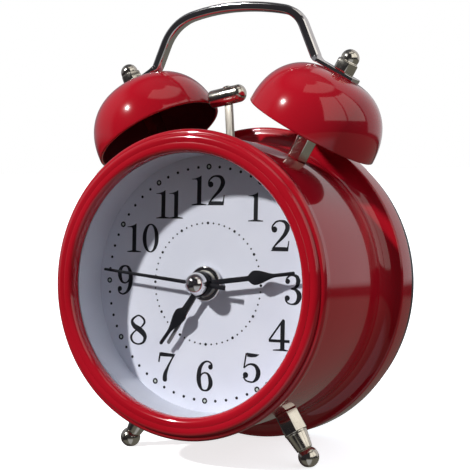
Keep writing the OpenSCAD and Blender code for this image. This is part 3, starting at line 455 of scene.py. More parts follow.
class Form:
    """A closed mesh in the making, in millimetres of the clock's frame."""

    # Points nearer to each other than this are one
    MERGE = 1e-4

    def __init__(self) -> None:
        """Starts with nothing."""
        self.mesh = bmesh.new()

    def loft(
        self, rings: Sequence[Sequence[Vector]], ring_loop: bool = True, path_loop: bool = False,
    ) -> "Form":
        """Joins rings of equally many points into a skin, and caps its ends.

        Args:
            rings: The rings in order.
            ring_loop: Whether each ring closes on itself.
            path_loop: Whether the last ring joins the first.

        Returns:
            The form itself.
        """
        made = [[self.mesh.verts.new(p) for p in ring] for ring in rings]
        count = len(made[0])
        for a, b in zip(made, made[1:] + (made[:1] if path_loop else [])):
            for i in range(count if ring_loop else count - 1):
                j = (i + 1) % count
                self.mesh.faces.new((a[i], a[j], b[j], b[i]))
        if not path_loop:
            self.mesh.faces.new(made[0][::-1])
            self.mesh.faces.new(made[-1])
        return self

    def spin(
        self, profile: Sequence[Pair], place: Matrix, loop: bool = True, segments: int = ROUND_SEGMENTS,
    ) -> "Form":
        """Turns a profile of (radius, height) about the z axis of a frame.

        Args:
            profile: The points of the profile.
            place: The frame it is turned in.
            loop: True for a closed profile, False for one that starts and ends on the axis.
            segments: Steps in the turn.

        Returns:
            The form itself.
        """
        rings = []
        for i in range(segments):
            c, s = math.cos(math.tau * i / segments), math.sin(math.tau * i / segments)
            rings.append([place @ Vector((r * c, r * s, h)) for r, h in profile])
        return self.loft(rings, ring_loop=loop, path_loop=True)

    def prism(self, outline: Sequence[Pair], low: float, high: float, place: Matrix) -> "Form":
        """Draws an outline out between two heights of a frame.

        Args:
            outline: Points in the frame's x and y.
            low: First height along z.
            high: Second height along z.
            place: The frame.

        Returns:
            The form itself.
        """
        return self.loft([[place @ Vector((a, b, h)) for a, b in outline] for h in (low, high)])

    def add(self, other: "Form") -> None:
        """Takes in another form, which ends with that.

        Args:
            other: The form to take in.
        """
        data = bpy.data.meshes.new("part")
        other.mesh.to_mesh(data)
        other.mesh.free()
        self.mesh.from_mesh(data)
        bpy.data.meshes.remove(data)

    def settle(self) -> None:
        """Merges doubles and turns faces outwards."""
        bmesh.ops.remove_doubles(self.mesh, verts=self.mesh.verts, dist=self.MERGE)
        bmesh.ops.recalc_face_normals(self.mesh, faces=self.mesh.faces)

    def bevel(self, width: float, segments: int = 3, angle: float = 30.0) -> "Form":
        """Rounds every edge sharper than an angle.

        Args:
            width: Width of the rounding.
            segments: Steps across it.
            angle: Least angle between faces, in degrees.

        Returns:
            The form itself.
        """
        self.settle()
        least = math.radians(angle)
        edges = [e for e in self.mesh.edges if len(e.link_faces) == 2 and e.calc_face_angle() > least]
        bmesh.ops.bevel(
            self.mesh, geom=edges, offset=width, segments=segments, profile=0.5, affect="EDGES",
            clamp_overlap=True,
        )
        return self

    def piece(self, name: str, look: Optional[Look] = None, sharp: float = SHARP) -> Piece:
        """Makes the form an object in the row frame.

        Args:
            name: Name of the object.
            look: Its finish.
            sharp: Angle in degrees from which edges stay sharp.

        Returns:
            The object, at the origin, with its place in its mesh.
        """
        self.settle()
        data = bpy.data.meshes.new(name)
        self.mesh.to_mesh(data)
        self.mesh.free()
        data.transform(STAND)
        made = linked(name, data)
        if look:
            data.materials.append(look.material)
        sharpen(made, sharp)
        return made


def baked(piece: Piece) -> None:
    """Turns a piece's modifiers into its plain mesh.

    Args:
        piece: The piece.
    """
    depsgraph = bpy.context.evaluated_depsgraph_get()
    data = bpy.data.meshes.new_from_object(piece.evaluated_get(depsgraph))
    piece.modifiers.clear()
    piece.data = data


def carve(piece: Piece, cutter: Form) -> None:
    """Cuts a form out of a piece.

    Args:
        piece: The piece to cut.
        cutter: The form to take away.
    """
    tool = cutter.piece("cutter")
    cut = piece.modifiers.new("cut", "BOOLEAN")
    cut.operation = "DIFFERENCE"
    cut.solver = "EXACT"
    cut.object = tool
    cut.use_self = True
    baked(piece)
    bpy.data.objects.remove(tool)
    sharpen(piece)


def keep(piece: Piece, body: str, slot: str, *nodes: str) -> None:
    """Puts a finished piece on its body.

    Args:
        piece: The piece.
        body: The CAD body it moves with.
        slot: The record's material slot; not used.
        *nodes: CAD nodes that it stands for.
    """
    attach(piece, body)
    if nodes:
        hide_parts(*nodes)
    log.info("%s on %s: %d faces", piece.name, body, len(piece.data.polygons))


class Layout(Enum):
    """Where a repeated pattern stands."""

    ROUND = "round"
    SPOTS = "spots"


class Repeat:
    """A Geometry Nodes tree that repeats a pattern and ends in one plain mesh."""

    INPUTS = (
        ("Pattern", "NodeSocketObject"), ("Material", "NodeSocketMaterial"), ("Size", "NodeSocketVector"),
        ("Count", "NodeSocketInt"), ("Radius", "NodeSocketFloat"), ("Every", "NodeSocketInt"),
        ("Multiples", "NodeSocketBool"),
    )
    # Number of the first whole number that the compare node takes
    COMPARED = 2

    def __init__(self, layout: Layout) -> None:
        """Builds the tree.

        Args:
            layout: Round a circle of Count points, or on the points of the piece's own mesh.
        """
        self.tree = bpy.data.node_groups.new(f"repeat_{layout.value}", "GeometryNodeTree")
        face = self.tree.interface
        for way in ("INPUT", "OUTPUT"):
            face.new_socket("Geometry", in_out=way, socket_type="NodeSocketGeometry")
        self.sockets = {
            name: face.new_socket(name, in_out="INPUT", socket_type=kind).identifier
            for name, kind in self.INPUTS
        }
        node = partial(add_node, self.tree)
        given = node("NodeGroupInput").outputs
        model = node("GeometryNodeObjectInfo", {"Object": given["Pattern"]})
        place = node("GeometryNodeInstanceOnPoints", {
            "Points": given["Geometry"], "Instance": model.outputs["Geometry"], "Scale": given["Size"],
        })
        if layout is Layout.ROUND:
            self.go_round(given, place)
        real = node("GeometryNodeRealizeInstances", {"Geometry": place.outputs["Instances"]})
        coat = node("GeometryNodeSetMaterial", {
            "Geometry": real.outputs["Geometry"], "Material": given["Material"],
        })
        node("NodeGroupOutput", {"Geometry": coat.outputs["Geometry"]})

    def go_round(self, given: bpy.types.NodeOutputs, place: bpy.types.Node) -> None:
        """Sets the points on a circle, turns each pattern with it and skips what isn't asked for.

        Args:
            given: Sockets of the group's inputs.
            place: The node that sets the patterns.
        """
        node = partial(add_node, self.tree)
        ring = node("GeometryNodeMeshCircle", {"Vertices": given["Count"], "Radius": given["Radius"]})
        index = node("GeometryNodeInputIndex").outputs["Index"]
        share = node("ShaderNodeMath", {0: index, 1: given["Count"]}, operation="DIVIDE")
        angle = node("ShaderNodeMath", {0: share.outputs[0], 1: math.tau}, operation="MULTIPLY")
        euler = node("ShaderNodeCombineXYZ", {"Z": angle.outputs[0]})
        turn = node("FunctionNodeEulerToRotation", {"Euler": euler.outputs["Vector"]})
        rest = node("FunctionNodeIntegerMath", {0: index, 1: given["Every"]}, operation="MODULO")
        whole = node(
            "FunctionNodeCompare", {self.COMPARED: rest.outputs[0]}, data_type="INT", operation="EQUAL",
        )
        wanted = node(
            "FunctionNodeBooleanMath", {0: whole.outputs[0], 1: given["Multiples"]}, operation="XNOR",
        )
        for source, socket in (
            (ring.outputs["Mesh"], "Points"), (turn.outputs["Rotation"], "Rotation"),
            (wanted.outputs[0], "Selection"),
        ):
            self.tree.links.new(source, place.inputs[socket])

    def piece(
        self, name: str, pattern: Form, look: Look, place: Matrix, count: int = 1, radius: float = 1.0,
        every: int = 1, multiples: bool = True, size: Triple = (1.0, 1.0, 1.0), spots: Iterable[Triple] = (),
    ) -> Piece:
        """Repeats a pattern.

        Args:
            name: Name of the piece.
            pattern: The shape to repeat, drawn at the origin in millimetres.
            look: Its finish.
            place: Frame that the repeats lie in.
            count: Places round the circle.
            radius: Radius of the circle.
            every: Places are told apart by whether their number is a multiple of this.
            multiples: Whether those are kept, or the others.
            size: Scale of the pattern along x, y and z.
            spots: Places, where they aren't on a circle.

        Returns:
            The piece as a plain mesh in the row frame.
        """
        model = pattern.piece("pattern")
        model.data.transform(STAND.inverted())
        data = bpy.data.meshes.new(name)
        data.from_pydata([tuple(s) for s in spots], [], [])
        made = linked(name, data)
        change = made.modifiers.new("repeat", "NODES")
        change.node_group = self.tree
        values = {
            "Pattern": model, "Material": look.material, "Size": size, "Count": count, "Radius": radius,
            "Every": every, "Multiples": multiples,
        }
        for socket, value in values.items():
            change[self.sockets[socket]] = value
        baked(made)
        bpy.data.objects.remove(model)
        made.data.transform(STAND @ place)
        sharpen(made)
        return made


@dataclass(frozen=True)
class Curl:
    """An elliptic stretch of a turned profile, placed by its foremost point.

    Attributes:
        crest: Radius and depth of the ellipse's foremost point.
        radii: Half widths of the ellipse.
        span: First and last angle in degrees.
        steps: Number of chords.
    """

    crest: Pair
    radii: Pair
    span: Pair
    steps: int

    def points(self) -> list[Pair]:
        """The points along the stretch."""
        return arc((self.crest[0], self.crest[1] + self.radii[1]), self.radii, *self.span, self.steps)


@dataclass
class Case:
    """The drum with its cove and rear band, and the bezel."""

    drum_r: float = DRUM_R
    wall: float = 0.8
    front_y: float = -10.4
    straight_y: float = 24.2
    cove_len: float = 5.0
    cove_turn: float = 72.0
    band_r: float = 45.18
    band_end_y: float = 36.4
    band_soft: Pair = (0.8, 1.6)
    inner_soft: float = 1.0
    edge_r: float = 44.4
    end_y: float = CASE_END_Y
    rim_soft: float = 0.35
    sheet_soft: float = 0.2
    bell_angle: float = BELL_ANGLE
    bell_y: float = BELL_Y
    foot_angle: float = FOOT_ANGLE
    foot_y: float = FOOT_Y
    stud_hole_r: float = STUD_HOLE_R
    slot_half: Pair = (2.59, 1.5)
    slot_corner: float = 0.8
    drill: float = 6.0
    seat_gap: float = 0.02
    skirt_r: float = 40.32
    skirt_y: float = -9.0
    skirt_soft: Pair = (0.1, 0.12)
    skirt_marks: Triple = (-9.3, -10.45, -10.7)
    bead: Curl = Curl((39.48, -13.05), (1.3, 1.3), (44, -92), 24)
    ridge_out: Curl = Curl((38.0, -14.3), (1.38, 1.15), (-12, -88), 16)
    ridge_in: Curl = Curl((38.0, -14.3), (1.7, 0.7), (-90, -122), 8)
    roll_out: Curl = Curl((36.0, -14.4), (1.9, 0.8), (-57, -88), 8)
    roll_in: Curl = Curl((36.0, -14.4), (1.6, 2.0), (-90, -180), 24)
    opening_r: float = 34.5
    recess_r: float = 36.2
    lens_front: float = LENS_FRONT_Y
    bezel_sharp: float = 28.0

    def cove(self, grow: float, turn: float) -> list[Pair]:
        """Stretch of an ellipse from the drum out to the band.

        Args:
            grow: Thickness that it is grown inwards by.
            turn: Angle in degrees at which it stops.

        Returns:
            Points of (radius, depth).
        """
        rise = self.band_r - self.drum_r + grow
        points = arc((0, 0), (rise, self.cove_len + grow), 0, turn)
        return [(self.band_r - r, self.straight_y + y) for r, y in points]

    def drum(self) -> Piece:
        """Builds the drum as one turned sheet, with its stud holes and hammer slot.

        Returns:
            The drum.
        """
        inner_turn = math.degrees(math.acos(self.wall / (self.band_r - self.drum_r + self.wall)))
        profile = rounded([
            (self.drum_r, self.front_y, self.sheet_soft), *self.cove(0, self.cove_turn),
            (self.band_r, self.straight_y + self.cove_len, self.band_soft[0]),
            (self.band_r, self.band_end_y, self.band_soft[1]), (self.edge_r, self.end_y, self.rim_soft),
            (self.edge_r - self.wall, self.end_y, self.sheet_soft),
            (self.band_r - self.wall, self.band_end_y - self.wall / 2, self.inner_soft),
            *reversed(self.cove(self.wall, inner_turn)),
            (self.drum_r - self.wall, self.front_y, self.sheet_soft),
        ])
        piece = Form().spin(profile, INTO, segments=FINE_SEGMENTS).piece("case_drum_sheet", Look.RED_ENAMEL)
        deep = (self.drum_r - self.drill, self.drum_r + self.drill)
        holes = Form()
        for side in (-1, 1):
            holes.prism(circle(self.stud_hole_r), *deep, outward(side * self.bell_angle, self.bell_y))
            holes.prism(circle(self.stud_hole_r), *deep, outward(180 - side * self.foot_angle, self.foot_y))
        wide, thick = self.slot_half
        slot = [(x * wide, self.bell_y + y * thick, self.slot_corner) for x, y in SQUARE]
        holes.prism(rounded(slot), *deep, UP)
        carve(piece, holes)
        return piece

    def bezel(self) -> Piece:
        """Builds the bezel: skirt, outer bead, middle ridge and the roll in to the lens.

        Returns:
            The bezel.
        """
        seat_r = self.drum_r + self.seat_gap
        profile = rounded([
            (seat_r, self.front_y), (seat_r, self.skirt_y, self.skirt_soft[0]),
            (self.skirt_r, self.skirt_y, self.skirt_soft[1]), *((self.skirt_r, y) for y in self.skirt_marks),
        ], loop=False)
        for curl in (self.bead, self.ridge_out, self.ridge_in, self.roll_out, self.roll_in):
            profile += curl.points()
        profile += [
            (self.opening_r, self.lens_front), (self.recess_r, self.lens_front),
            (self.recess_r, self.front_y),
        ]
        ring = Form().spin(profile, INTO, segments=FINE_SEGMENTS)
        return ring.piece("bezel_ring", Look.RED_ENAMEL, self.bezel_sharp)

    def build(self) -> None:
        """Builds the drum and the bezel on the case body."""
        keep(self.drum(), "case", "red_paint", "case_drum")
        keep(self.bezel(), "case", "red_paint", "bezel")


@dataclass(frozen=True)
class Glyph:
    """One numeral in units of its height, about x 0, standing on y 0.

    Attributes:
        strokes: Curves of (x, y, half width).
        balls: Round ends of (x, y, radius).
        plates: Filled outlines.
        ring: A closed stroke, where it has one.
    """

    # Rise of each plate over the one before, so that no two faces lie in one plane
    PLATE_STEP: ClassVar[float] = 0.002

    strokes: tuple[tuple[Triple, ...], ...] = ()
    balls: tuple[Triple, ...] = ()
    plates: tuple[tuple[Pair, ...], ...] = ()
    ring: tuple[Triple, ...] = ()

    def turned(self) -> "Glyph":
        """The glyph upside down.

        Returns:
            A glyph of strokes and balls.
        """
        return Glyph(
            tuple(tuple((-x, 1 - y, w) for x, y, w in s) for s in self.strokes),
            tuple((-x, 1 - y, r) for x, y, r in self.balls),
        )

    def reach(self) -> Pair:
        """Width of the drawn shape.

        Returns:
            Its lowest and highest x.
        """
        spans = [(x - w, x + w) for s in (*self.strokes, self.balls, self.ring) for x, _, w in s]
        spans += [(x, x) for p in self.plates for x, _ in p]
        return min(a for a, _ in spans), max(b for _, b in spans)

    def draw(self, form: Form, x: float, z: float, height: float, base: float, top: float) -> None:
        """Draws the glyph as thin closed plates on the dial.

        Args:
            form: The form to add to.
            x: Middle of the glyph.
            z: Foot of the glyph.
            height: Height of the glyph.
            base: Height of the plates' undersides over the dial.
            top: Height of their faces.
        """
        lift = top
        for stroke, loop in [(s, False) for s in self.strokes] + [(self.ring, True)] * bool(self.ring):
            line = flowing(stroke, loop=loop)
            rings = []
            for i, (px, py, half) in enumerate(line):
                before, after = neighbour(line, i - 1, loop), neighbour(line, i + 1, loop)
                along = (after - before).to_2d().normalized()
                side = Vector((-along.y, along.x)) * half
                corners = ((1, lift), (-1, lift), (-1, base), (1, base))
                rings.append([
                    FACE @ Vector((x + (px + k * side.x) * height, z + (py + k * side.y) * height, h))
                    for k, h in corners
                ])
            form.loft(rings, path_loop=loop)
            lift += self.PLATE_STEP
        outlines = [circle(r * height, x=x + bx * height, y=z + by * height) for bx, by, r in self.balls]
        outlines += [[(x + px * height, z + py * height) for px, py in plate] for plate in self.plates]
        for outline in outlines:
            form.prism(outline, base, lift, FACE)
            lift += self.PLATE_STEP


def oval_ring(outer: Pair, inner: Pair, steps: int = 16) -> tuple[Triple, ...]:
    """A closed oval stroke between two ellipses, as the numeral nought has.

    Args:
        outer: Half widths of the outer ellipse.
        inner: Half widths of the inner ellipse.
        steps: Points round it.

    Returns:
        Points of (x, y, half width).
    """
    mid = [(a + b) / 2 for a, b in zip(outer, inner)]
    half = [(a - b) / 2 for a, b in zip(outer, inner)]
    turns = [math.tau * i / steps for i in range(steps)]
    return tuple((
        mid[0] * math.cos(t), 0.5 + mid[1] * math.sin(t),
        math.hypot(half[0] * math.cos(t), half[1] * math.sin(t)),
    ) for t in turns)


SIX = Glyph(
    strokes=((
        (0.27, 0.83, 0.03), (0.22, 0.93, 0.03), (0.08, 0.98, 0.028), (-0.08, 0.9, 0.045),
        (-0.19, 0.72, 0.07),
        (-0.225, 0.48, 0.083), (-0.205, 0.25, 0.075), (-0.12, 0.07, 0.045), (0, 0.02, 0.028),
        (0.13, 0.06, 0.045),
        (0.215, 0.2, 0.075), (0.215, 0.36, 0.075), (0.14, 0.54, 0.045), (0.02, 0.6, 0.028),
        (-0.1, 0.56, 0.026),
        (-0.18, 0.45, 0.03),
    ),),
    balls=((0.21, 0.8, 0.085),),
)
GLYPHS: dict[str, Glyph] = {
    "0": Glyph(ring=oval_ring((0.328, 0.5), (0.173, 0.455))),
    "1": Glyph(plates=((
        (-0.29, 0), (-0.29, 0.03), (-0.08, 0.065), (-0.08, 0.8), (-0.1, 0.86), (-0.18, 0.872),
        (-0.295, 0.875),
        (-0.295, 0.895), (-0.15, 0.91), (0, 0.96), (0.06, 1), (0.08, 1), (0.08, 0.065), (0.29, 0.03),
        (0.29, 0),
    ),)),
    "2": Glyph(
        strokes=((
            (-0.285, 0.7, 0.03), (-0.27, 0.82, 0.028), (-0.15, 0.945, 0.03), (0, 0.98, 0.03),
            (0.17, 0.94, 0.055),
            (0.26, 0.8, 0.08), (0.235, 0.66, 0.078), (0.12, 0.48, 0.06), (-0.07, 0.29, 0.04),
            (-0.2, 0.15, 0.028),
            (-0.27, 0.06, 0.025),
        ),),
        balls=((-0.205, 0.7, 0.1),),
        plates=((
            (-0.33, 0), (-0.3, 0.03), (-0.2, 0.135), (0.19, 0.135), (0.24, 0.12), (0.275, 0.16),
            (0.3, 0.34),
            (0.335, 0.34), (0.3, 0),
        ),),
    ),
    "3": Glyph(
        strokes=((
            (-0.24, 0.74, 0.03), (-0.2, 0.88, 0.03), (-0.05, 0.97, 0.028), (0.12, 0.94, 0.055),
            (0.19, 0.82, 0.075),
            (0.17, 0.66, 0.07), (0.08, 0.56, 0.04), (-0.06, 0.525, 0.025),
        ), (
            (-0.06, 0.525, 0.025), (0.1, 0.5, 0.045), (0.22, 0.38, 0.08), (0.235, 0.24, 0.082),
            (0.15, 0.08, 0.055),
            (-0.02, 0.025, 0.026), (-0.18, 0.07, 0.028), (-0.255, 0.18, 0.03),
        )),
        balls=((-0.185, 0.765, 0.085), (-0.19, 0.22, 0.09)),
    ),
    "4": Glyph(
        strokes=(((0.13, 0.985, 0.03), (-0.115, 0.65, 0.03), (-0.35, 0.33, 0.03)),),
        plates=(
            ((0.038, 0.03), (0.188, 0.03), (0.188, 0.96), (0.15, 1), (0.12, 1), (0.038, 0.86)),
            ((-0.364, 0.265), (0.364, 0.265), (0.364, 0.355), (-0.364, 0.355)),
            ((-0.213, 0), (0.339, 0), (0.339, 0.03), (0.188, 0.06), (0.038, 0.06), (-0.213, 0.03)),
        ),
    ),
    "5": Glyph(
        strokes=(
            ((-0.2, 0.98, 0.028), (-0.24, 0.72, 0.028), (-0.28, 0.47, 0.028)),
            (
                (-0.28, 0.47, 0.02), (-0.15, 0.58, 0.028), (0, 0.62, 0.035), (0.17, 0.56, 0.06),
                (0.265, 0.38, 0.085),
                (0.23, 0.18, 0.075), (0.1, 0.04, 0.035), (-0.03, 0.018, 0.028), (-0.2, 0.06, 0.028),
                (-0.3, 0.18, 0.03),
            ),
        ),
        balls=((-0.215, 0.24, 0.1),),
        plates=(((-0.186, 1), (0.29, 0.965), (0.29, 0.95), (0.17, 0.87), (0, 0.85), (-0.16, 0.865)),),
    ),
    "6": SIX,
    "7": Glyph(
        strokes=(
            ((-0.27, 0.98, 0.03), (-0.295, 0.82, 0.03), (-0.32, 0.66, 0.03)),
            (
                (0.3, 0.95, 0.025), (0.18, 0.76, 0.03), (0.04, 0.5, 0.045), (-0.05, 0.28, 0.075),
                (-0.07, 0.12, 0.085),
                (-0.065, 0.03, 0.07),
            ),
        ),
        balls=((-0.065, 0.085, 0.085),),
        plates=(((-0.26, 1), (0.33, 0.965), (0.32, 0.95), (0.2, 0.86), (-0.28, 0.86)),),
    ),
    "8": Glyph(ring=(
        (0, 0.98, 0.028), (-0.21, 0.86, 0.04), (-0.245, 0.74, 0.06), (-0.14, 0.61, 0.085), (0.06, 0.5, 0.1),
        (0.22, 0.37, 0.09), (0.275, 0.24, 0.065), (0.2, 0.08, 0.04), (0, 0.018, 0.028), (-0.2, 0.08, 0.035),
        (-0.28, 0.24, 0.045), (-0.2, 0.38, 0.03), (-0.06, 0.49, 0.025), (0.1, 0.58, 0.025),
        (0.24, 0.74, 0.04),
        (0.2, 0.88, 0.038),
    )),
    "9": SIX.turned(),
}


@dataclass(frozen=True)
class Numeral:
    """An hour's numeral on the dial.

    Attributes:
        text: Its digits.
        x: Its middle across the dial.
        z: Its middle up the dial.
        height: Its height.
        gap: The gap between two digits.
    """

    text: str
    x: float
    z: float
    height: float
    gap: float = 0.0

    def draw(self, form: Form, base: float, top: float) -> None:
        """Draws the numeral's glyphs side by side about its middle.

        Args:
            form: The form to add to.
            base: Height of the undersides over the dial.
            top: Height of the faces.
        """
        glyphs = [GLYPHS[c] for c in self.text]
        widths = [(b - a) * self.height for a, b in (g.reach() for g in glyphs)]
        left = self.x - (sum(widths) + self.gap * (len(glyphs) - 1)) / 2
        for glyph, width in zip(glyphs, widths):
            middle = left - glyph.reach()[0] * self.height
            glyph.draw(form, middle, self.z - self.height / 2, self.height, base, top)
            left += width + self.gap


@dataclass
class Front:
    """Lens, reflector ring, dial with its print, and the dial nut."""

    lens_r: float = 36.1
    lens_y: Pair = (LENS_FRONT_Y, -10.1)
    lens_soft: float = 0.25
    ring_r: float = 34.7
    ring_front_r: float = 35.0
    ring_wall: float = 1.0
    ring_soft: Pair = (0.25, 0.3)
    inside_r: float = 38.7
    dial_t: float = 0.6
    dial_soft: float = 0.05
    hole_r: float = 3.46
    nut_r: float = 4.8
    nut_h: float = 1.5
    nut_bevel: float = 0.2
    nut_soft: float = 0.45
    # Foot of the nut: inset, then the heights and radii of its two corners
    nut_foot_in: float = 0.3
    nut_foot_h: Pair = (0.3, 0.45)
    nut_foot_soft: Pair = (0.1, 0.15)
    track_r: float = 31.65
    minute_dot_r: float = 0.40
    dot_segments: int = 14
    hour_ring_r: float = 0.8
    hour_ring_w: float = 0.42
    hour_ring_segments: int = 24
    lume_segments: int = 20
    lume_drop: float = 0.015
    inner_track_r: float = 16.4
    inner_dot_r: float = 0.25
    inner_hour_dot_r: float = 0.39
    print_base: float = -0.05
    print_top: float = 0.03
    numerals: tuple[Numeral, ...] = (
        Numeral("12", -0.12, 25.22, 8.05, 0.2), Numeral("1", 14.46, 20.75, 7.7),
        Numeral("2", 21.79, 13.23, 8.1), Numeral("3", 25.81, -0.74, 8.0), Numeral("4", 21.99, -12.7, 8.3),
        Numeral("5", 14.08, -21.78, 7.84), Numeral("6", -0.15, -24.91, 8.25),
        Numeral("7", -12.27, -23.37, 8.1), Numeral("8", -21.68, -13.55, 8.28),
        Numeral("9", -26.39, 0.2, 8.26), Numeral("10", -20.79, 12.06, 8.0, 0.45),
        Numeral("11", -12.24, 21.43, 7.8, -0.44),
    )

    def lens(self) -> Piece:
        """Builds the flat lens with eased edges.

        Returns:
            The lens.
        """
        near, far = self.lens_y
        rim = [(self.lens_r, y, self.lens_soft) for y in self.lens_y]
        profile = rounded([(0, near), *rim, (0, far)], loop=False)
        return Form().spin(profile, INTO, loop=False).piece("lens_disc", Look.LENS)

    def ring(self) -> Piece:
        """Builds the white ring between lens and dial.

        Returns:
            The ring.
        """
        near = self.lens_y[1]
        flange = near + self.ring_wall
        profile = rounded([
            (self.ring_front_r, near, self.ring_soft[0]), (self.inside_r, near), (self.inside_r, flange),
            (self.ring_front_r + self.ring_wall, flange, self.ring_soft[1]),
            (self.ring_r + self.ring_wall, 0), (self.ring_r, 0),
        ])
        return Form().spin(profile, INTO).piece("reflector_wall", Look.REFLECTOR)

    def dial(self) -> Piece:
        """Builds the dial plate with its centre hole.

        Returns:
            The dial.
        """
        profile = rounded([
            (self.hole_r, 0, self.dial_soft), (self.inside_r, 0, self.dial_soft),
            (self.inside_r, self.dial_t), (self.hole_r, self.dial_t),
        ])
        return Form().spin(profile, INTO).piece("dial_plate", Look.DIAL)

    def nut(self) -> Piece:
        """Builds the round nut that holds the dial to the movement.

        Returns:
            The nut.
        """
        foot_r = self.nut_r - self.nut_foot_in
        low, high = self.nut_foot_h
        profile = rounded([
            (self.hole_r, 0), (self.hole_r, self.nut_bevel - self.nut_h),
            (self.hole_r + self.nut_bevel, -self.nut_h), (self.nut_r, -self.nut_h, self.nut_soft),
            (self.nut_r, -high, self.nut_foot_soft[1]), (foot_r, -low, self.nut_foot_soft[0]), (foot_r, 0),
        ])
        return Form().spin(profile, INTO, segments=TURNED_SEGMENTS).piece("dial_nut_ring", Look.CHROME)

    def printed(self) -> list[Piece]:
        """Builds the numerals and the two tracks of dots.

        Returns:
            The pieces of the print.
        """
        low, high = self.print_base, self.print_top
        ink = Form()
        for numeral in self.numerals:
            numeral.draw(ink, low, high)
        pieces = [ink.piece("dial_numerals", Look.INK)]
        repeat = Repeat(Layout.ROUND)
        for name, radius, dot, multiples in (
            ("dial_minute_dots", self.track_r, self.minute_dot_r, False),
            ("dial_inner_dots", self.inner_track_r, self.inner_dot_r, False),
            ("dial_inner_hour_dots", self.inner_track_r, self.inner_hour_dot_r, True),
        ):
            disc = Form().prism(circle(1, self.dot_segments), low, high, UP)
            pieces.append(repeat.piece(
                name, disc, Look.INK, FACE, MINUTES, radius, MINUTES // HOURS, multiples, (dot, dot, 1.0),
            ))
        outer, inner = self.hour_ring_r, self.hour_ring_r - self.hour_ring_w
        square = [(inner, low), (outer, low), (outer, high), (inner, high)]
        hoop = Form().spin(square, UP, segments=self.hour_ring_segments)
        lume = Form().prism(circle(inner, self.lume_segments), low, high - self.lume_drop, UP)
        for name, form, look in (("dial_hour_rings", hoop, Look.INK), ("dial_hour_lume", lume, Look.LUME)):
            pieces.append(repeat.piece(name, form, look, FACE, HOURS, self.track_r))
        return pieces

    def build(self) -> None:
        """Builds the front on the case body."""
        keep(self.lens(), "case", "clear_lens", "lens")
        keep(self.ring(), "case", "white_plastic", "reflector_ring")
        keep(self.dial(), "case", "dial_print", "dial")
        keep(self.nut(), "case", "chrome", "dial_nut")
        for piece in self.printed():
            keep(piece, "case", "dial_print")


@dataclass(frozen=True)
class Spade:
    """Outline of a spade hand.

    Attributes:
        length: Distance from the axis to the tip.
        swell: Distance to the widest place.
        tip: Width of the tip.
        bar: Width of the bar.
        wide: Width of the spade.
        rise: Length of the side towards the axis, as a share of that width.
        fall: Length of the side towards the tip, as a share of that width.
        steps: Stations on each side.
    """

    length: float
    swell: float
    tip: float
    bar: float = 1.4
    wide: float = 3.8
    rise: float = 0.52
    fall: float = 1.65
    steps: int = 12

    def stations(self) -> list[Pair]:
        """Stations from the axis out.

        Returns:
            Pairs of distance and width.
        """
        out = [(0.0, self.bar)]
        for t in between(0, 1, self.steps):
            swelling = self.bar + (self.wide - self.bar) * math.sin(math.pi / 2 * t)
            out.append((self.swell - (1 - t) * self.wide * self.rise, swelling))
        for t in between(0, 1, self.steps)[1:]:
            taper = self.tip + (self.wide - self.tip) * (1 + math.cos(math.pi * t)) / 2
            out.append((self.swell + t * self.wide * self.fall, taper))
        return out + [(self.length - self.tip / 4, self.tip), (self.length, self.tip / 2)]


@dataclass(frozen=True)
class Hand:
    """One hand of the stack.

    Attributes:
        name: Name of the piece.
        body: The body that it moves with, which also names its CAD node.
        stations: Pairs of distance and width along the hand.
        hours: Its place on the dial in hours.
        bore: Radius of the hole in its collet.
        tube: Length of the tube under it.
        look: Its finish.
        slot: The record's material slot.
    """

    name: str
    body: str
    stations: Sequence[Pair]
    hours: float
    bore: float
    tube: float = 0.35
    look: Look = Look.HAND_BLACK
    slot: str = "hand_black"


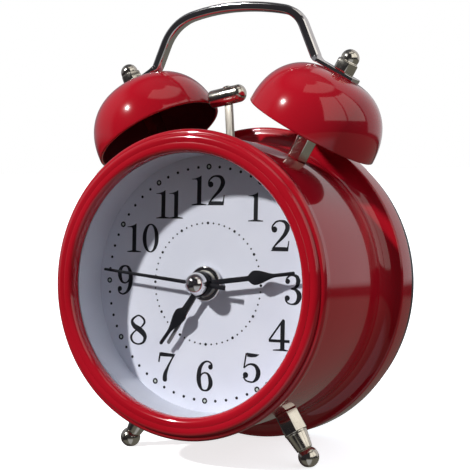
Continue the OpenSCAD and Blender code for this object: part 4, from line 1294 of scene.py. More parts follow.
@dataclass
class Hands:
    """Alarm, hour, minute and second hands, and the ball cap that ends the stack."""

    MINUTE_SHOWN: ClassVar[float] = 13.7667
    SECOND_SHOWN: ClassVar[float] = 46.0

    thick: float = 0.35
    # Drop of edge and shoulder below the ridge, width of the edge and the most of half the hand it takes
    edge_drop: float = 0.14
    shoulder_drop: float = 0.05
    edge_w: float = 0.12
    edge_share: float = 0.4
    collet_r: float = 3.4
    collet_soft: Pair = (0.12, 0.08)
    tube_r: float = 3.1
    # Distance behind the hand's back from which its tube is bright
    tube_from: float = 0.01
    sharp: float = 25.0
    cap_r: float = 3.1
    cap_sink: float = 0.7
    cap_start: float = -7.9293
    cap_steps: int = 24
    collar: tuple[Pair, ...] = ((2.55, 0.0), (2.78, 0.06), (2.78, 0.2), (2.6, 0.27))
    alarm_y: float = -2.2
    pitch: float = 0.8
    # From the dial outwards
    stack: tuple[Hand, ...] = (
        Hand("alarm_pointer", "alarm", ((-0.2, 1.0), (19.4, 1.0), (19.7, 0.7)), 7.09, 2.2, 0.3,
             Look.HAND_GREY, "hand_grey"),
        Hand("hour_spade", "hour", Spade(21.0, 10.71, 1.0).stations(), 7 + MINUTE_SHOWN / MINUTES, 1.64),
        Hand("minute_spade", "minute", Spade(28.2, 16.64, 0.95).stations(),
             MINUTE_SHOWN * HOURS / MINUTES, 1.08),
        Hand("second_needle", "second", ((-8.2, 1.2), (0, 1.1), (30.3, 0.75), (30.6, 0.5)),
             SECOND_SHOWN * HOURS / MINUTES, 0.52),
    )

    def blade(self, hand: Hand, y: float) -> Piece:
        """Builds a hand with a faint ridge, a collet and the tube under it.

        Args:
            hand: The hand.
            y: Depth of its middle.

        Returns:
            The hand's piece.
        """
        place = FACE @ Matrix.Rotation(-math.tau * hand.hours / HOURS, 4, "Z")
        low, high = -y - self.thick / 2, -y + self.thick / 2
        edge, shoulder = high - self.edge_drop, high - self.shoulder_drop
        rings = []
        for along, wide in hand.stations:
            half = wide / 2
            flat = half - min(self.edge_w, half * self.edge_share)
            section = (
                (-half, low), (-half, edge), (-flat, shoulder), (0, high), (flat, shoulder), (half, edge),
                (half, low),
            )
            rings.append([place @ Vector((a, along, h)) for a, h in section])
        collet = rounded([
            (hand.bore, high), (self.collet_r, high, self.collet_soft[0]),
            (self.collet_r, low, self.collet_soft[1]), (self.tube_r, low), (self.tube_r, low - hand.tube),
            (hand.bore, low - hand.tube),
        ])
        form = Form().loft(rings).spin(collet, place, segments=SMALL_SEGMENTS)
        piece = form.piece(hand.name, hand.look, self.sharp)
        piece.data.materials.append(Look.CHROME.material)
        back = STAND.inverted()
        for face in piece.data.polygons:
            face.material_index = int((back @ face.center).y > self.tube_from - low)
        return piece

    def cap(self, y: float) -> Piece:
        """Builds the ball cap with a narrow collar at its foot.

        Args:
            y: Depth of the foremost hand's middle.

        Returns:
            The cap.
        """
        foot = self.thick / 2 - y
        ball = dome(foot + self.cap_sink, (self.cap_r, self.cap_r), self.cap_steps, self.cap_start)
        profile = [(0, foot), *((r, foot + h) for r, h in self.collar), *ball]
        return Form().spin(profile, FACE, loop=False, segments=TURNED_SEGMENTS).piece("hub_ball", Look.CHROME)

    def build(self) -> None:
        """Builds each hand on its own body, and the cap on the last."""
        y = self.alarm_y
        for level, hand in enumerate(self.stack):
            y = self.alarm_y - level * self.pitch
            keep(self.blade(hand, y), hand.body, hand.slot, f"{hand.body}_hand")
        keep(self.cap(y), self.stack[-1].body, "chrome", "hub_cap")


@dataclass
class Bell:
    """One bell on its post, under its cap nut."""

    name: str
    side: int
    angle: float = BELL_ANGLE
    y: float = BELL_Y
    reach: float = BELL_REACH
    radius: float = 18.7
    height: float = BELL_H
    wall: float = 0.9
    full: float = 2.25
    crown_r: float = 3.2
    steps: int = 40
    rim_steps: int = 8
    hole_r: float = STUD_HOLE_R
    # Point on the axis, from the rim, that inner faces turn to, and the height over it where they start; these
    # faces get painted shade
    shade_from: float = -5.1
    shade_above: float = 5.27
    post_af: float = 5.4
    post_soft: float = 0.28
    drum_r: float = DRUM_R
    stud_r: float = STUD_R
    stud_in: float = STUD_IN
    stud_soft: float = 0.3
    tab_t: float = TAB_T
    nut_af: float = 5.5
    nut_hex: float = 3.0
    nut_h: float = 6.4
    nut_soft: float = 0.3
    ball_in: float = 0.25
    ball_steps: int = 16
    # Corners between hexagon and dome, from the dome's radius and the hexagon's top
    nut_neck: tuple[Pair, ...] = ((0.05, -0.4), (0.05, 0.1), (-0.1, 0.3))

    @property
    def place(self) -> Matrix:
        """Frame of the bell's axis."""
        return outward(self.side * self.angle, self.y)

    def curve(self, inset: float = 0.0) -> list[Pair]:
        """The bell's swept side from its rim to its crown.

        Args:
            inset: Thickness by which it lies inside the bell's surface.

        Returns:
            Points of (radius, height), without those beside the rolled rim.
        """
        power = 2 / self.full
        width = self.radius - inset - self.crown_r
        out = []
        for t in between(0, math.pi / 2, self.steps):
            up = (self.height - inset) * math.sin(t) ** power
            if up > self.wall / 2:
                out.append((self.crown_r + width * max(0.0, math.cos(t)) ** power, up))
        return out

    def shell(self) -> Piece:
        """Builds the bell as a sheet with a rolled rim and a hole in its crown, its inner faces darkened as
        painted shade.

        Returns:
            The bell.
        """
        roll = self.wall / 2
        profile = [
            *self.curve(), (self.hole_r, self.height), (self.hole_r, self.height - self.wall),
            *reversed(self.curve(self.wall)),
            *arc((self.radius - roll, roll), (roll, roll), -180, 0, self.rim_steps),
        ]
        placed = self.place @ Matrix.Translation((0, 0, self.reach))
        form = Form().spin(profile, placed, segments=BELL_SEGMENTS)
        piece = form.piece(f"bell_{self.name}_shell", Look.RED_ENAMEL)
        # Inner faces take this second material: painted shade for the bell's hollow
        piece.data.materials.append(Look.BELL_PAINTED_SHADE.material)
        hollow = STAND @ placed @ Vector((0, 0, self.shade_from))
        axis = (STAND @ placed).to_3x3().col[2].normalized()
        for face in piece.data.polygons:
            away = face.center - hollow
            inwards = face.normal.dot(away) < 0 and away.dot(axis) > self.shade_above * MILLIMETRE
            face.material_index = int(inwards)
        return piece

    def post(self) -> Piece:
        """Builds the hexagonal post with its stud.

        Returns:
            The post.
        """
        top = self.reach + self.height
        form = Form().prism(hexagon(self.post_af), self.drum_r, top - self.wall, self.place)
        form.bevel(self.post_soft)
        ends = (self.drum_r - self.stud_in, top + self.tab_t + self.nut_hex)
        rim = [(self.stud_r, end, self.stud_soft) for end in ends]
        stud = rounded([(0, ends[0]), *rim, (0, ends[1])], loop=False)
        form.spin(stud, self.place, loop=False, segments=THIN_SEGMENTS)
        return form.piece(f"bell_{self.name}_post", Look.NICKEL)

    def add_nut(self, form: Form) -> None:
        """Adds the domed nut that holds bell and handle to a form.

        Args:
            form: The form to add to.
        """
        seat = self.place @ Matrix.Translation((0, 0, self.reach + self.height + self.tab_t))
        form.add(Form().prism(hexagon(self.nut_af), 0, self.nut_hex, seat).bevel(self.nut_soft))
        ball = self.nut_af / 2 - self.ball_in
        neck = [(ball + r, self.nut_hex + h) for r, h in self.nut_neck]
        profile = [(0, neck[0][1]), *neck, *dome(self.nut_h - ball, (ball, ball), self.ball_steps)]
        form.spin(profile, seat, loop=False, segments=SMALL_SEGMENTS)

    def build(self) -> None:
        """Builds the bell and its post on the case body."""
        keep(self.shell(), "case", "red_paint", f"bell_{self.name}")
        keep(self.post(), "case", "nickel", f"bell_post_{self.name}")


@dataclass
class Handle:
    """The bow that joins both bells by its flat ends, and the domed nuts on them."""

    y: float = BELL_Y
    angle: float = BELL_ANGLE
    bell_top: float = BELL_REACH + BELL_H
    bow_t: float = 2.5
    bow_w: float = 3.4
    tab_t: float = TAB_T
    tab_w: float = 5.0
    edge: float = 0.8
    tab_edge: float = 0.25
    edge_steps: int = 6
    end_soft: float = 0.2
    end_sharp: float = 60.0
    tab_out: float = 4.6
    tab_in: float = 7.5
    bend_r: float = 3.0
    leg_heading: float = 113.0
    leg_len: float = 9.4
    shoulder_r: float = 8.2
    left_leg_len: float = 6.64
    left_shoulder_r: float = 13.0
    top_slope: float = 13.0
    # Steps along the lower bend, the shoulder and the top
    steps: tuple[int, int, int] = (12, 18, 24)
    hole_r: float = STUD_HOLE_R
    drill: Pair = (-2.0, 4.0)

    def half_line(self, leg_len: float, shoulder_r: float) -> list[tuple[Vector, float, float]]:
        """One half of the handle's middle line, as on the right, from its flat end to its top.

        Args:
            leg_len: Length of the straight leg.
            shoulder_r: Radius of the bend over the leg.

        Returns:
            Points in the plane of the bells, each with its heading in degrees and a share of 0
            for the flat end to 1 for the bow.
        """
        tab, leg, top = 180 - self.angle, self.leg_heading, 180 - self.top_slope
        at_nut = (self.bell_top + self.tab_t / 2) * leftward(-self.angle)
        bend = at_nut + self.tab_in * ahead(tab) - self.bend_r * leftward(tab)
        leg_end = bend + self.bend_r * leftward(leg) + leg_len * ahead(leg)
        shoulder = leg_end + shoulder_r * leftward(leg)
        shoulder_end = shoulder - shoulder_r * leftward(top)
        sweep_r = shoulder_end.x / math.sin(math.radians(self.top_slope))
        sweep = shoulder_end + sweep_r * leftward(top)
        low, middle, high = self.steps
        line = [(at_nut - self.tab_out * ahead(tab), tab, 0.0)]
        for h in between(tab, leg, low):
            line.append((bend + self.bend_r * leftward(h), h, (h - tab) / (leg - tab)))
        line += [(shoulder - shoulder_r * leftward(h), h, 1.0) for h in between(leg, top, middle)]
        line += [(sweep - sweep_r * leftward(h), h, 1.0) for h in between(top, 180, high)[1:]]
        return line

    def section(self, share: float) -> list[Pair]:
        """Cross section of the handle, between the flat end's and the bow's.

        Args:
            share: 0 for the flat end, 1 for the bow.

        Returns:
            An outline of (height over the middle line, width).
        """
        soft = share * share * (3 - 2 * share)
        thick = (self.tab_t + (self.bow_t - self.tab_t) * share) / 2
        wide = (self.tab_w + (self.bow_w - self.tab_w) * soft) / 2
        edge = self.tab_edge + (self.edge - self.tab_edge) * soft
        return rounded([(a * thick, b * wide, edge) for a, b in SQUARE], steps=self.edge_steps)

    def strap(self) -> Piece:
        """Builds the bow with its flat ends, bored for both studs.

        Returns:
            The handle.
        """
        line = self.half_line(self.leg_len, self.shoulder_r)
        other = self.half_line(self.left_leg_len, self.left_shoulder_r)
        line += [(Vector((-p.x, p.y)), 360 - h, share) for p, h, share in reversed(other[:-1])]
        rings = []
        for spot, heading, share in line:
            side = leftward(heading)
            rings.append([
                Vector((spot.x + k * side.x, self.y + w, spot.y + k * side.y)) for k, w in self.section(share)
            ])
        form = Form().loft(rings).bevel(self.end_soft, angle=self.end_sharp)
        piece = form.piece("handle_bow", Look.CHROME)
        deep = [self.bell_top + reach for reach in self.drill]
        holes = Form()
        for side in (-1, 1):
            holes.prism(circle(self.hole_r), *deep, outward(side * self.angle, self.y))
        carve(piece, holes)
        return piece

    def build(self, bells: Sequence[Bell]) -> None:
        """Builds the handle and the nuts on the case body.

        Args:
            bells: The bells that the handle joins.
        """
        keep(self.strap(), "case", "chrome", "handle")
        nuts = Form()
        for bell in bells:
            bell.add_nut(nuts)
        keep(nuts.piece("domed_nuts", Look.NICKEL), "case", "chrome", "cap_nuts")


@dataclass
class Foot:
    """One turned foot: hexagon, shoulder, cone and ball."""

    name: str
    side: int
    angle: float = FOOT_ANGLE
    y: float = FOOT_Y
    drum_r: float = DRUM_R
    across: float = 6.2
    hex_len: float = 6.1
    hex_soft: float = 0.3
    reach: float = 52.9
    ball_r: float = 2.8
    ball_steps: int = 28
    stud_r: float = STUD_R
    stud_in: float = STUD_IN
    stud_soft: float = 0.2
    # Corners of (radius, height, rounding), from the hexagon's end and from the neck
    shoulder: tuple[Triple, ...] = (
        (STUD_R, -0.3, 0.0), (3.05, -0.3, 0.0), (3.05, 0.15, 0.1), (2.945, 0.5, 0.1),
    )
    neck: tuple[Triple, ...] = ((2.2, 0.0, 0.2), (1.8, 0.15, 0.1))
    neck_in: float = 2.24
    sharp: float = 30.0

    def build(self) -> None:
        """Builds the foot on the case body, flat where it stands."""
        place = outward(180 - self.side * self.angle, self.y)
        hex_end, stud_end = self.drum_r + self.hex_len, self.drum_r - self.stud_in
        form = Form().prism(hexagon(self.across), self.drum_r, hex_end, place).bevel(self.hex_soft)
        profile = rounded([
            (0, stud_end), (self.stud_r, stud_end, self.stud_soft),
            *((r, hex_end + h, soft) for r, h, soft in self.shoulder),
            *((r, self.reach - self.neck_in + h, soft) for r, h, soft in self.neck),
        ], loop=False)[:-1]
        start = -math.degrees(math.acos(self.neck[-1][0] / self.ball_r))
        ball = dome(self.reach, (self.ball_r, self.ball_r), self.ball_steps, start)
        form.spin(profile + ball, place, loop=False, segments=SMALL_SEGMENTS)
        piece = form.piece(f"foot_{self.name}_turned", Look.NICKEL, self.sharp)
        for vertex in piece.data.vertices:
            vertex.co.z = max(vertex.co.z, 0.0)
        keep(piece, "case", "nickel", f"foot_{self.name}")


@dataclass
class Hammer:
    """The swinging hammer: forked arm, head and rivet."""

    pivot_z: float = 31.0
    y: float = BELL_Y
    length: float = 21.6
    lean: float = 4.5
    head_len: float = 11.0
    head_d: float = 5.0
    head_tilt: float = 5.0
    head_soft: float = 0.5
    head_dome: float = 2.2
    dome_steps: int = 16
    # Corners of (radius, place, rounding), from the head's radius and the dome's start
    groove: tuple[Triple, ...] = (
        (0.0, -0.53, 0.06), (-0.16, -0.43, 0.05), (-0.16, -0.25, 0.05), (0.0, -0.15, 0.06),
    )
    arm_w: float = 2.2
    arm_t: float = 1.2
    arm_soft: float = 0.14
    hub_r: float = 2.5
    hub_half: float = 1.2
    hub_sink: float = 0.02
    hub_soft: float = 0.15
    hub_segments: int = 48
    bore_r: float = 1.06
    bore_past: float = 0.1
    fork_half: float = 2.82
    fork_prong: float = 1.3
    fork_root: float = 4.85
    fork_end: float = 11.5
    # Corners of (radius, height, rounding), from the head's top
    rivet_top: tuple[Triple, ...] = (
        (0.8, -0.3, 0.0), (1.2, -0.3, 0.1), (1.2, 0.05, 0.1), (0.7, 0.25, 0.2), (0.0, 0.28, 0.0),
    )

    @property
    def place(self) -> Matrix:
        """Frame at the pivot with z along the arm."""
        lean = Matrix.Rotation(math.radians(-self.lean), 4, "Y")
        return Matrix.Translation((0, self.y, self.pivot_z)) @ lean

    @property
    def head_place(self) -> Matrix:
        """Frame at the middle of the head, which tilts on the arm."""
        tilt = Matrix.Rotation(math.radians(-self.head_tilt), 4, "Y")
        return self.place @ Matrix.Translation((0, 0, self.length)) @ tilt

    def under(self, x: float) -> float:
        """Height of the head's underside along the arm, at a place across it."""
        tilt = math.radians(self.head_tilt)
        return self.length - self.head_d / 2 / math.cos(tilt) + x * math.tan(tilt)

    def arm(self) -> Piece:
        """Builds the arm as a flat pressing with a fork below its hub.

        Returns:
            The arm.
        """
        inner, outer, bar = self.fork_half, self.fork_half + self.fork_prong, self.arm_w / 2
        root, end = -self.fork_root, -self.fork_end
        outline = [
            (-bar, self.under(-bar)), (-bar, 0), (-outer, root), (-outer, end), (-inner, end), (-inner, root),
            (inner, root), (inner, end), (outer, end), (outer, root), (bar, 0), (bar, self.under(bar)),
        ]
        place = self.place @ FACE
        half = self.arm_t / 2
        sunk = half - self.hub_sink
        form = Form().prism(outline, -half, half, place).bevel(self.arm_soft)
        for low, high in ((sunk, self.hub_half), (-self.hub_half, -sunk)):
            boss = rounded([
                (self.bore_r, low), (self.hub_r, low), (self.hub_r, high, self.hub_soft), (self.bore_r, high),
            ])
            form.spin(boss, place, segments=self.hub_segments)
        piece = form.piece("hammer_pressing", Look.STEEL)
        deep = half + self.bore_past
        carve(piece, Form().prism(circle(self.bore_r, THIN_SEGMENTS), -deep, deep, place))
        return piece

    def head(self) -> Piece:
        """Builds the head: eased striking end, ring groove and domed far end.

        Returns:
            The head.
        """
        r, half = self.head_d / 2, self.head_len / 2
        start = half - self.head_dome
        profile = rounded([
            (0, -half), (r, -half, self.head_soft), *((r + a, start + h, soft) for a, h, soft in self.groove),
            (r, start),
        ], loop=False)[:-1]
        profile += dome(start, (r, self.head_dome), self.dome_steps)
        form = Form().spin(profile, self.head_place @ ACROSS, loop=False, segments=TURNED_SEGMENTS)
        return form.piece("hammer_drum", Look.NICKEL)

    def rivet(self) -> Piece:
        """Builds the rivet that holds the head on the arm, with a domed top.

        Returns:
            The rivet.
        """
        r = self.head_d / 2
        top = [(a, r + h, soft) for a, h, soft in self.rivet_top]
        profile = rounded([(0, -r), (top[0][0], -r), *top], loop=False)
        form = Form().spin(profile, self.head_place, loop=False, segments=PIN_SEGMENTS)
        return form.piece("hammer_pin", Look.NICKEL)

    def build(self) -> None:
        """Builds the hammer on its own body."""
        keep(self.arm(), "hammer", "steel", "hammer_arm")
        keep(self.head(), "hammer", "nickel", "hammer_head")
        keep(self.rivet(), "hammer", "nickel", "hammer_rivet")


@dataclass
class Back:
    """The back cover with its screws, setting knobs, switch and battery door."""

    cover_r: float = 44.0
    case_end_y: float = CASE_END_Y
    cover_y: float = 39.6
    back_y: float = 42.0
    rim_soft: Pair = (0.25, 0.9)
    spigot_r: float = 43.45
    spigot_wall: float = 1.4
    spigot_y: float = 34.0
    spigot_soft: Pair = (0.2, 0.3)
    # Corners of (radius, depth, rounding), from the cover's back
    groove: tuple[Triple, ...] = (
        (40.9, 0.0, 0.1), (40.7, -0.35, 0.1), (40.1, -0.35, 0.1), (39.9, 0.0, 0.1),
    )
    cut_past: float = 1.0
    corner_steps: int = 4
    window_corner: float = 0.4
    hatch_corner: float = 0.5
    gap: float = 0.3
    stem_x: float = 8.66
    stem_z: float = 5.0
    stem_hole_r: float = 1.8
    knob_y: float = 42.6
    knob_r: float = 5.5
    # Corners of (radius, height, rounding), from the knob's foot
    knob_line: tuple[Triple, ...] = (
        (0.0, 0.0, 0.0), (5.3, 0.0, 0.2), (5.5, 0.4, 0.2), (5.5, 0.9, 0.15), (4.95, 1.1, 0.1),
        (4.95, 6.0, 0.6), (3.9, 6.0, 0.15), (3.7, 5.7, 0.15), (0.0, 5.7, 0.0),
    )
    ribs: int = 18
    rib_root: float = -0.75
    # Half widths of a rib at its root and its crest
    rib_half: Pair = (0.62, 0.496)
    rib_soft: float = 0.3
    # Height of each section and how far its crest lies inside the knob's radius
    rib_levels: tuple[Pair, ...] = ((0.95, 0.0), (5.1, 0.0), (5.65, 0.28))
    switch_z: float = 24.0
    slide_half: Pair = (6.0, 2.5)
    slide_y: Pair = (38.2, 39.4)
    slide_corner: float = 0.4
    nub_half: Pair = (2.0, 1.3)
    nub_y: Pair = (39.3, 43.55)
    nub_corner: float = 0.3
    travel: float = 5.0
    ridges: int = 4
    ridge_half: Pair = (0.225, 1.1)
    ridge_x: float = -1.425
    ridge_pitch: float = 0.95
    ridge_y: Pair = (43.4, 44.0)
    ridge_corner: float = 0.15
    switch_soft: float = 0.09
    door_half_w: float = 27.25
    door_z: Pair = (-24.2, -7.8)
    door_corner: float = 0.6
    door_soft: float = 0.25
    barrel_soft: float = 0.15
    pin_r: float = 0.7
    pin_len: float = 1.5
    pin_soft: float = 0.1
    grip_r: float = 9.0
    grip_steps: int = 40
    grip_depth: float = 1.2
    grip_in: float = 3.0
    screws: tuple[Pair, ...] = ((-20.0, 6.0), (20.0, 6.0), (0.0, -27.35))
    screw_head_r: float = 2.3
    screw_head_h: float = 1.4
    # Corners of (radius, height, rounding), from the screw's seat
    screw_line: tuple[Triple, ...] = (
        (0.0, -9.0, 0.0), (1.2, -8.0, 0.2), (1.2, 0.0, 0.0), (2.3, 0.0, 0.1), (2.3, 0.66, 0.4),
        (1.38, 1.2, 0.5), (0.0, 1.2, 0.0),
    )
    small_steps: int = 3
    cross: Pair = (1.5, 0.32)
    cross_depth: float = 0.75

    def box(self, form: Form, middle: Pair, half: Pair, y: Sequence[float], corner: float = 0.0) -> Form:
        """Adds a block with round corners seen from behind.

        Args:
            form: The form to add to.
            middle: Its middle in x and z.
            half: Its half widths in x and z.
            y: Least and greatest depth.
            corner: Radius of the corners.

        Returns:
            The form.
        """
        outline = [(middle[0] + a * half[0], b * half[1] - middle[1], corner) for a, b in SQUARE]
        return form.prism(rounded(outline, steps=self.corner_steps), *y, INTO)

    def cover(self) -> Piece:
        """Builds the cover with its spigot, border groove and openings.

        Returns:
            The cover.
        """
        inner = self.spigot_r - self.spigot_wall
        back = self.back_y
        profile = rounded([
            (0, self.cover_y), (inner, self.cover_y), (inner, self.spigot_y, self.spigot_soft[0]),
            (self.spigot_r, self.spigot_y, self.spigot_soft[1]), (self.spigot_r, self.case_end_y),
            (self.cover_r, self.case_end_y, self.rim_soft[0]), (self.cover_r, back, self.rim_soft[1]),
            *((r, back + y, soft) for r, y, soft in self.groove), (0, back),
        ], loop=False)
        form = Form().spin(profile, INTO, loop=False, segments=FINE_SEGMENTS)
        piece = form.piece("back_cover_plate", Look.BLACK)
        cuts = Form()
        deep = (self.cover_y - self.cut_past, back + self.cut_past)
        for side in (-1, 1):
            stem = circle(self.stem_hole_r, THIN_SEGMENTS, side * self.stem_x, -self.stem_z)
            cuts.prism(stem, *deep, INTO)
        wide, tall = (half + self.gap for half in self.nub_half)
        run = self.travel / 2
        self.box(cuts, (-run, self.switch_z), (wide + run, tall), deep, self.window_corner)
        low, high = self.door_z
        hatch = (self.door_half_w + self.gap, (high - low) / 2 + self.gap)
        self.box(cuts, (0, (low + high) / 2), hatch, deep, self.hatch_corner)
        for x, z in self.screws:
            seat = circle(self.screw_head_r + self.gap, PIN_SEGMENTS, x, -z)
            cuts.prism(seat, back - self.screw_head_h, deep[1], INTO)
        carve(piece, cuts)
        return piece

    def screw_row(self) -> Piece:
        """Sets the three screws in the cover and cuts their cross slots.

        Returns:
            The screws as one piece.
        """
        line = rounded(self.screw_line, loop=False, steps=self.small_steps)
        screw = Form().spin(line, UP, loop=False, segments=THIN_SEGMENTS)
        spots = [(x, -z, self.back_y - self.screw_head_h) for x, z in self.screws]
        piece = Repeat(Layout.SPOTS).piece("cover_cross_screws", screw, Look.STEEL, INTO, spots=spots)
        deep = (self.back_y - self.cross_depth, self.back_y + self.cut_past)
        slots = Form()
        for spot in self.screws:
            for half in (self.cross, self.cross[::-1]):
                self.box(slots, spot, half, deep)
        carve(piece, slots)
        return piece

    def knob(self, name: str, x: float, repeat: Repeat) -> Piece:
        """Builds a setting knob with ribs round its grip.

        Args:
            name: Name of the piece.
            x: Place of its stem.
            repeat: The tree that sets the ribs.

        Returns:
            The knob.
        """
        place = Matrix.Translation((x, self.knob_y, self.stem_z)) @ INTO
        line = rounded(self.knob_line, loop=False)
        body = Form().spin(line, place, loop=False, segments=TURNED_SEGMENTS).piece(name, Look.BLACK)
        foot, crest = self.rib_half
        rings = []
        for z, inset in self.rib_levels:
            outline = rounded([
                (self.rib_root, -foot), (-inset, -crest, self.rib_soft), (-inset, crest, self.rib_soft),
                (self.rib_root, foot),
            ], steps=self.small_steps)
            rings.append([Vector((a, b, z)) for a, b in outline])
        rib = Form().loft(rings)
        ribs = repeat.piece(f"{name}_ribs", rib, Look.BLACK, place, self.ribs, self.knob_r)
        with bpy.context.temp_override(
            active_object=body, selected_editable_objects=[body, ribs], selected_objects=[body, ribs],
        ):
            bpy.ops.object.join()
        return body

    def switch(self) -> Piece:
        """Builds the alarm switch's slider: a base and a ridged nub.

        Returns:
            The slider.
        """
        middle = (0, self.switch_z)
        form = self.box(Form(), middle, self.slide_half, self.slide_y, self.slide_corner)
        self.box(form, middle, self.nub_half, self.nub_y, self.nub_corner)
        for i in range(self.ridges):
            at = (self.ridge_x + i * self.ridge_pitch, self.switch_z)
            self.box(form, at, self.ridge_half, self.ridge_y, self.ridge_corner)
        return form.bevel(self.switch_soft, segments=2).piece("switch_ridged_slider", Look.GREY)

    def door(self) -> Piece:
        """Builds the battery door: plate, hinge barrel, pins and a finger hollow.

        Returns:
            The door.
        """
        near, far = self.cover_y, self.back_y
        half_t = (far - near) / 2
        axis_z, top = self.door_z[0] + half_t, self.door_z[1]
        wide, ends = self.door_half_w, self.door_half_w + self.pin_len
        half = (wide, (top - axis_z) / 2)
        form = self.box(Form(), (0, (top + axis_z) / 2), half, (near, far), self.door_corner)
        form.bevel(self.door_soft)
        barrel = rounded([
            (0, -ends), (self.pin_r, -ends, self.pin_soft), (self.pin_r, -wide),
            (half_t, -wide, self.barrel_soft), (half_t, wide, self.barrel_soft), (self.pin_r, wide),
            (self.pin_r, ends, self.pin_soft), (0, ends),
        ], loop=False)
        hinge = Matrix.Translation((0, near + half_t, axis_z)) @ ACROSS
        form.spin(barrel, hinge, loop=False, segments=PIN_SEGMENTS)
        piece = form.piece("battery_hatch", Look.BLACK)
        grip = self.grip_r
        hollow = [(0, -grip), *dome(0, (grip, grip), self.grip_steps, -90)[1:]]
        at = Matrix.Translation((0, far + grip - self.grip_depth, top - self.grip_in))
        carve(piece, Form().spin(hollow, at, loop=False, segments=TURNED_SEGMENTS))
        return piece

    def build(self) -> None:
        """Builds the back's pieces on their bodies."""
        keep(self.cover(), "case", "black_plastic", "back_cover")
        keep(self.screw_row(), "case", "steel", "cover_screws")
        repeat = Repeat(Layout.ROUND)
        for body, x in (("time_set", -self.stem_x), ("alarm_set", self.stem_x)):
            keep(self.knob(f"{body}_ribbed_knob", x, repeat), body, "black_plastic", f"{body}_knob")
        keep(self.switch(), "switch", "switch_grey", "switch_slider")
        keep(self.door(), "door", "black_plastic", "battery_door")


@dataclass
class Inside:
    """The movement, ringer and fixings, which keep their CAD shapes."""

    looks: tuple[tuple[str, Look], ...] = (
        ("steel", Look.STEEL), ("nickel", Look.NICKEL), ("natural_plastic", Look.NATURAL),
        ("board_green", Look.BOARD), ("copper", Look.COPPER), ("brass", Look.BRASS),
        ("battery_wrap", Look.SLEEVE), ("white_plastic", Look.REFLECTOR),
    )

    def build(self) -> None:
        """Gives every CAD node that still shows the finish of its slot."""
        looks = dict(self.looks)
        slots = {s["node"]: s["material_slot"] for s in frame["record"]["subparts"]}
        for name, node in frame["nodes"].items():
            if node.hide_render:
                continue
            look = looks[slots[name]]
            if not node.material_slots:
                node.data.materials.append(None)
            for place in node.material_slots:
                place.material = look.material
            log.info("%s keeps its CAD shape as %s", name, look.value.name)


@dataclass(frozen=True)
class Panel:
    """A stretch of the studio as polished surfaces see it.

    Attributes:
        bearing: First and last bearing in degrees, from behind the clock towards its right.
        rise: Lowest and highest angle over the horizon in degrees.
        tone: Its light.
        soft: Width of its edge in degrees.
    """

    bearing: Pair
    rise: Pair
    tone: Triple
    soft: float = 2.0


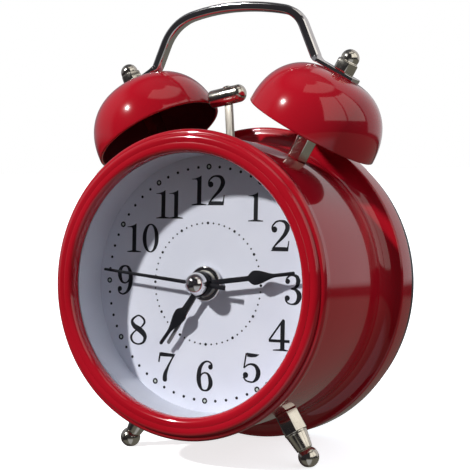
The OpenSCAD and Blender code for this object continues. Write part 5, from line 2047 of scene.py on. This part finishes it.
@dataclass
class Studio:
    """Floor, light, surroundings and the camera at the photograph's angle."""

    # Numbers of the colour mix node's two colours and of its result
    UNDER: ClassVar[int] = 6
    OVER: ClassVar[int] = 7
    MIXED: ClassVar[int] = 2

    eye: Triple = (155.36, -272.66, 10.81)
    gaze: Triple = (-0.47453, 0.8802, 0.0079)
    top: Triple = (-0.0127, -0.01583, 0.9998)
    focal: float = 88.88
    sensor: float = 36.0
    clip: Pair = (0.01, 100.0)
    key_travel: Triple = (0.7, 1.0, -0.82)
    key_strength: float = 3.2
    key_spread: float = 3.0
    sky: Triple = (0.74, 0.82, 0.93)
    ground: Triple = (0.25, 0.19, 0.13)
    horizon: Pair = (-0.15, 0.05)
    bright_side: Triple = (0.766, 0.643, 0.12)
    bright_range: Pair = (0.0, 0.6)
    ambient: Pair = (0.24, 1.1)
    front: Triple = (0.03, 0.028, 0.032)
    # Each lies over the ones before it
    panels: tuple[Panel, ...] = (
        Panel((-200, 200), (66, 120), (0.14, 0.14, 0.15), 16),
        Panel((45, 188), (61, 80), (0.9, 0.85, 0.8), 3),
        Panel((-120, -15), (-5, 50), (0.22, 0.22, 0.24), 12),
        Panel((-15, 53), (-5, 60), (0.60, 0.575, 0.585), 3),
        Panel((57, 94.5), (9, 52), (1.2, 1.15, 1.08)),
        Panel((97.5, 137), (9, 52), (1.2, 1.15, 1.08)),
        Panel((-200, 200), (-100, -9), (0.16, 0.155, 0.135)),
        Panel((-105, -30), (-110, -6), (0.05, 0.04, 0.04), 10),
        Panel((-200, -105), (-28, -6), (0.02, 0.018, 0.022), 8),
        Panel((118, 200), (-120, -18), (0.45, 0.455, 0.48), 8),
        Panel((-200, 200), (-8.5, -5.5), (0.02, 0.02, 0.02), 1),
    )
    floor_half: float = 20.0
    floor_glow: float = 0.75

    def camera(self) -> None:
        """Makes the camera."""
        data = bpy.data.cameras.new("camera")
        data.lens = self.focal
        data.sensor_width = self.sensor
        data.clip_start, data.clip_end = self.clip
        made = linked("camera", data)
        turn = STAND.to_3x3().normalized()
        gaze, top = turn @ Vector(self.gaze), turn @ Vector(self.top)
        right = gaze.cross(top).normalized()
        axes = Matrix((right, right.cross(gaze), -gaze)).transposed()
        made.matrix_world = Matrix.Translation(STAND @ Vector(self.eye)) @ axes.to_4x4()
        bpy.context.scene.camera = made

    def key(self) -> None:
        """Makes the key light, high on the left in front."""
        data = bpy.data.lights.new("key", "SUN")
        data.energy = self.key_strength
        data.angle = math.radians(self.key_spread)
        travel = (STAND.to_3x3().normalized() @ Vector(self.key_travel)).normalized()
        linked("key", data).matrix_world = travel.to_track_quat("-Z", "Y").to_matrix().to_4x4()

    def gradient(self, tree: bpy.types.NodeTree, way: bpy.types.NodeSocket) -> bpy.types.Node:
        """Makes the soft light that matt surfaces get: brown ground, pale sky, stronger on one side.

        Args:
            tree: The world's nodes.
            way: Direction of the ray.

        Returns:
            The background node.
        """
        node = partial(add_node, tree)
        height = node("ShaderNodeSeparateXYZ", {"Vector": way}).outputs["Z"]
        share = node("ShaderNodeMapRange", {
            "Value": height, "From Min": self.horizon[0], "From Max": self.horizon[1],
        })
        tone = node("ShaderNodeMix", {
            0: share.outputs["Result"], self.UNDER: (*self.ground, 1.0), self.OVER: (*self.sky, 1.0),
        }, data_type="RGBA")
        aim = node("ShaderNodeVectorMath", {0: way, 1: self.bright_side}, operation="DOT_PRODUCT")
        side = node("ShaderNodeMapRange", {
            "Value": aim.outputs["Value"], "From Min": self.bright_range[0], "From Max": self.bright_range[1],
            "To Min": self.ambient[0], "To Max": self.ambient[1],
        })
        return node("ShaderNodeBackground", {
            "Color": tone.outputs[self.MIXED], "Strength": side.outputs["Result"],
        })

    def within(
        self, tree: bpy.types.NodeTree, value: bpy.types.NodeSocket, limits: Pair, soft: float,
    ) -> bpy.types.NodeSocket:
        """Tells whether an angle lies between two limits.

        Args:
            tree: The world's nodes.
            value: The angle in degrees.
            limits: The two limits.
            soft: Width of the change at each limit.

        Returns:
            1 inside and 0 outside.
        """
        half = (limits[1] - limits[0]) / 2
        off = add_node(tree, "ShaderNodeMath", {0: value, 1: limits[0] + half}, operation="SUBTRACT")
        far = add_node(tree, "ShaderNodeMath", {0: off.outputs[0]}, operation="ABSOLUTE")
        return add_node(tree, "ShaderNodeMapRange", {
            "Value": far.outputs[0], "From Min": half + soft / 2, "From Max": half - soft / 2,
        }).outputs["Result"]

    def panelled(self, tree: bpy.types.NodeTree, way: bpy.types.NodeSocket) -> bpy.types.Node:
        """Makes the surroundings that polished surfaces reflect, one panel over the other.

        Args:
            tree: The world's nodes.
            way: Direction of the ray.

        Returns:
            The background node.
        """
        node = partial(add_node, tree)
        axes = node("ShaderNodeSeparateXYZ", {"Vector": way}).outputs
        turn = node("ShaderNodeMath", {0: axes["X"], 1: axes["Y"]}, operation="ARCTAN2")
        lift = node("ShaderNodeMath", {0: axes["Z"]}, operation="ARCSINE")
        bearing, rise = (
            node("ShaderNodeMath", {0: angle.outputs[0]}, operation="DEGREES").outputs[0]
            for angle in (turn, lift)
        )
        tone: Any = (*self.front, 1.0)
        for panel in self.panels:
            inside = node("ShaderNodeMath", {
                0: self.within(tree, bearing, panel.bearing, panel.soft),
                1: self.within(tree, rise, panel.rise, panel.soft),
            }, operation="MULTIPLY")
            inputs = {0: inside.outputs[0], self.UNDER: tone, self.OVER: (*panel.tone, 1.0)}
            tone = node("ShaderNodeMix", inputs, data_type="RGBA").outputs[self.MIXED]
        return node("ShaderNodeBackground", {"Color": tone})

    def surroundings(self) -> None:
        """Makes the world: white to the camera, panels to polished surfaces, soft light to the rest."""
        world = bpy.data.worlds.new("studio")
        bpy.context.scene.world = world
        world.use_nodes = True
        tree = world.node_tree
        node = partial(add_node, tree)
        way = node("ShaderNodeTexCoord").outputs["Generated"]
        ray = node("ShaderNodeLightPath").outputs
        soft, bright = self.gradient(tree, way).outputs[0], self.panelled(tree, way).outputs[0]
        seen = node("ShaderNodeBackground", {"Color": WHITE}).outputs[0]
        lit = node("ShaderNodeMixShader", {0: ray["Is Glossy Ray"], 1: soft, 2: bright}).outputs[0]
        whole = node("ShaderNodeMixShader", {0: ray["Is Camera Ray"], 1: lit, 2: seen}).outputs[0]
        tree.links.new(whole, tree.nodes["World Output"].inputs["Surface"])

    def floor(self) -> None:
        """Makes the pale floor that the clock stands on."""
        data = bpy.data.meshes.new("floor")
        data.from_pydata([(x * self.floor_half, y * self.floor_half, 0) for x, y in SQUARE], [], [range(4)])
        made = linked("floor", data)
        material = Look.FLOOR.material
        shader = material.node_tree.nodes["Principled BSDF"]
        shader.inputs["Emission Color"].default_value = WHITE
        shader.inputs["Emission Strength"].default_value = self.floor_glow
        data.materials.append(material)
        made.visible_glossy = False
        made.visible_diffuse = False

    def build(self) -> None:
        """Sets up the studio."""
        self.camera()
        self.key()
        self.surroundings()
        self.floor()
        bpy.context.scene.view_settings.view_transform = "Standard"


def main() -> None:
    """Builds the clock's looks and the studio."""
    logging.basicConfig(level=logging.INFO, format="%(name)s: %(message)s")
    Case().build()
    Front().build()
    Hands().build()
    bells = [Bell("left", -1), Bell("right", 1)]
    for bell in bells:
        bell.build()
    Handle().build(bells)
    for foot in (Foot("left", -1), Foot("right", 1)):
        foot.build()
    Hammer().build()
    Back().build()
    Inside().build()
    Studio().build()


if __name__ == "__main__":
    main()
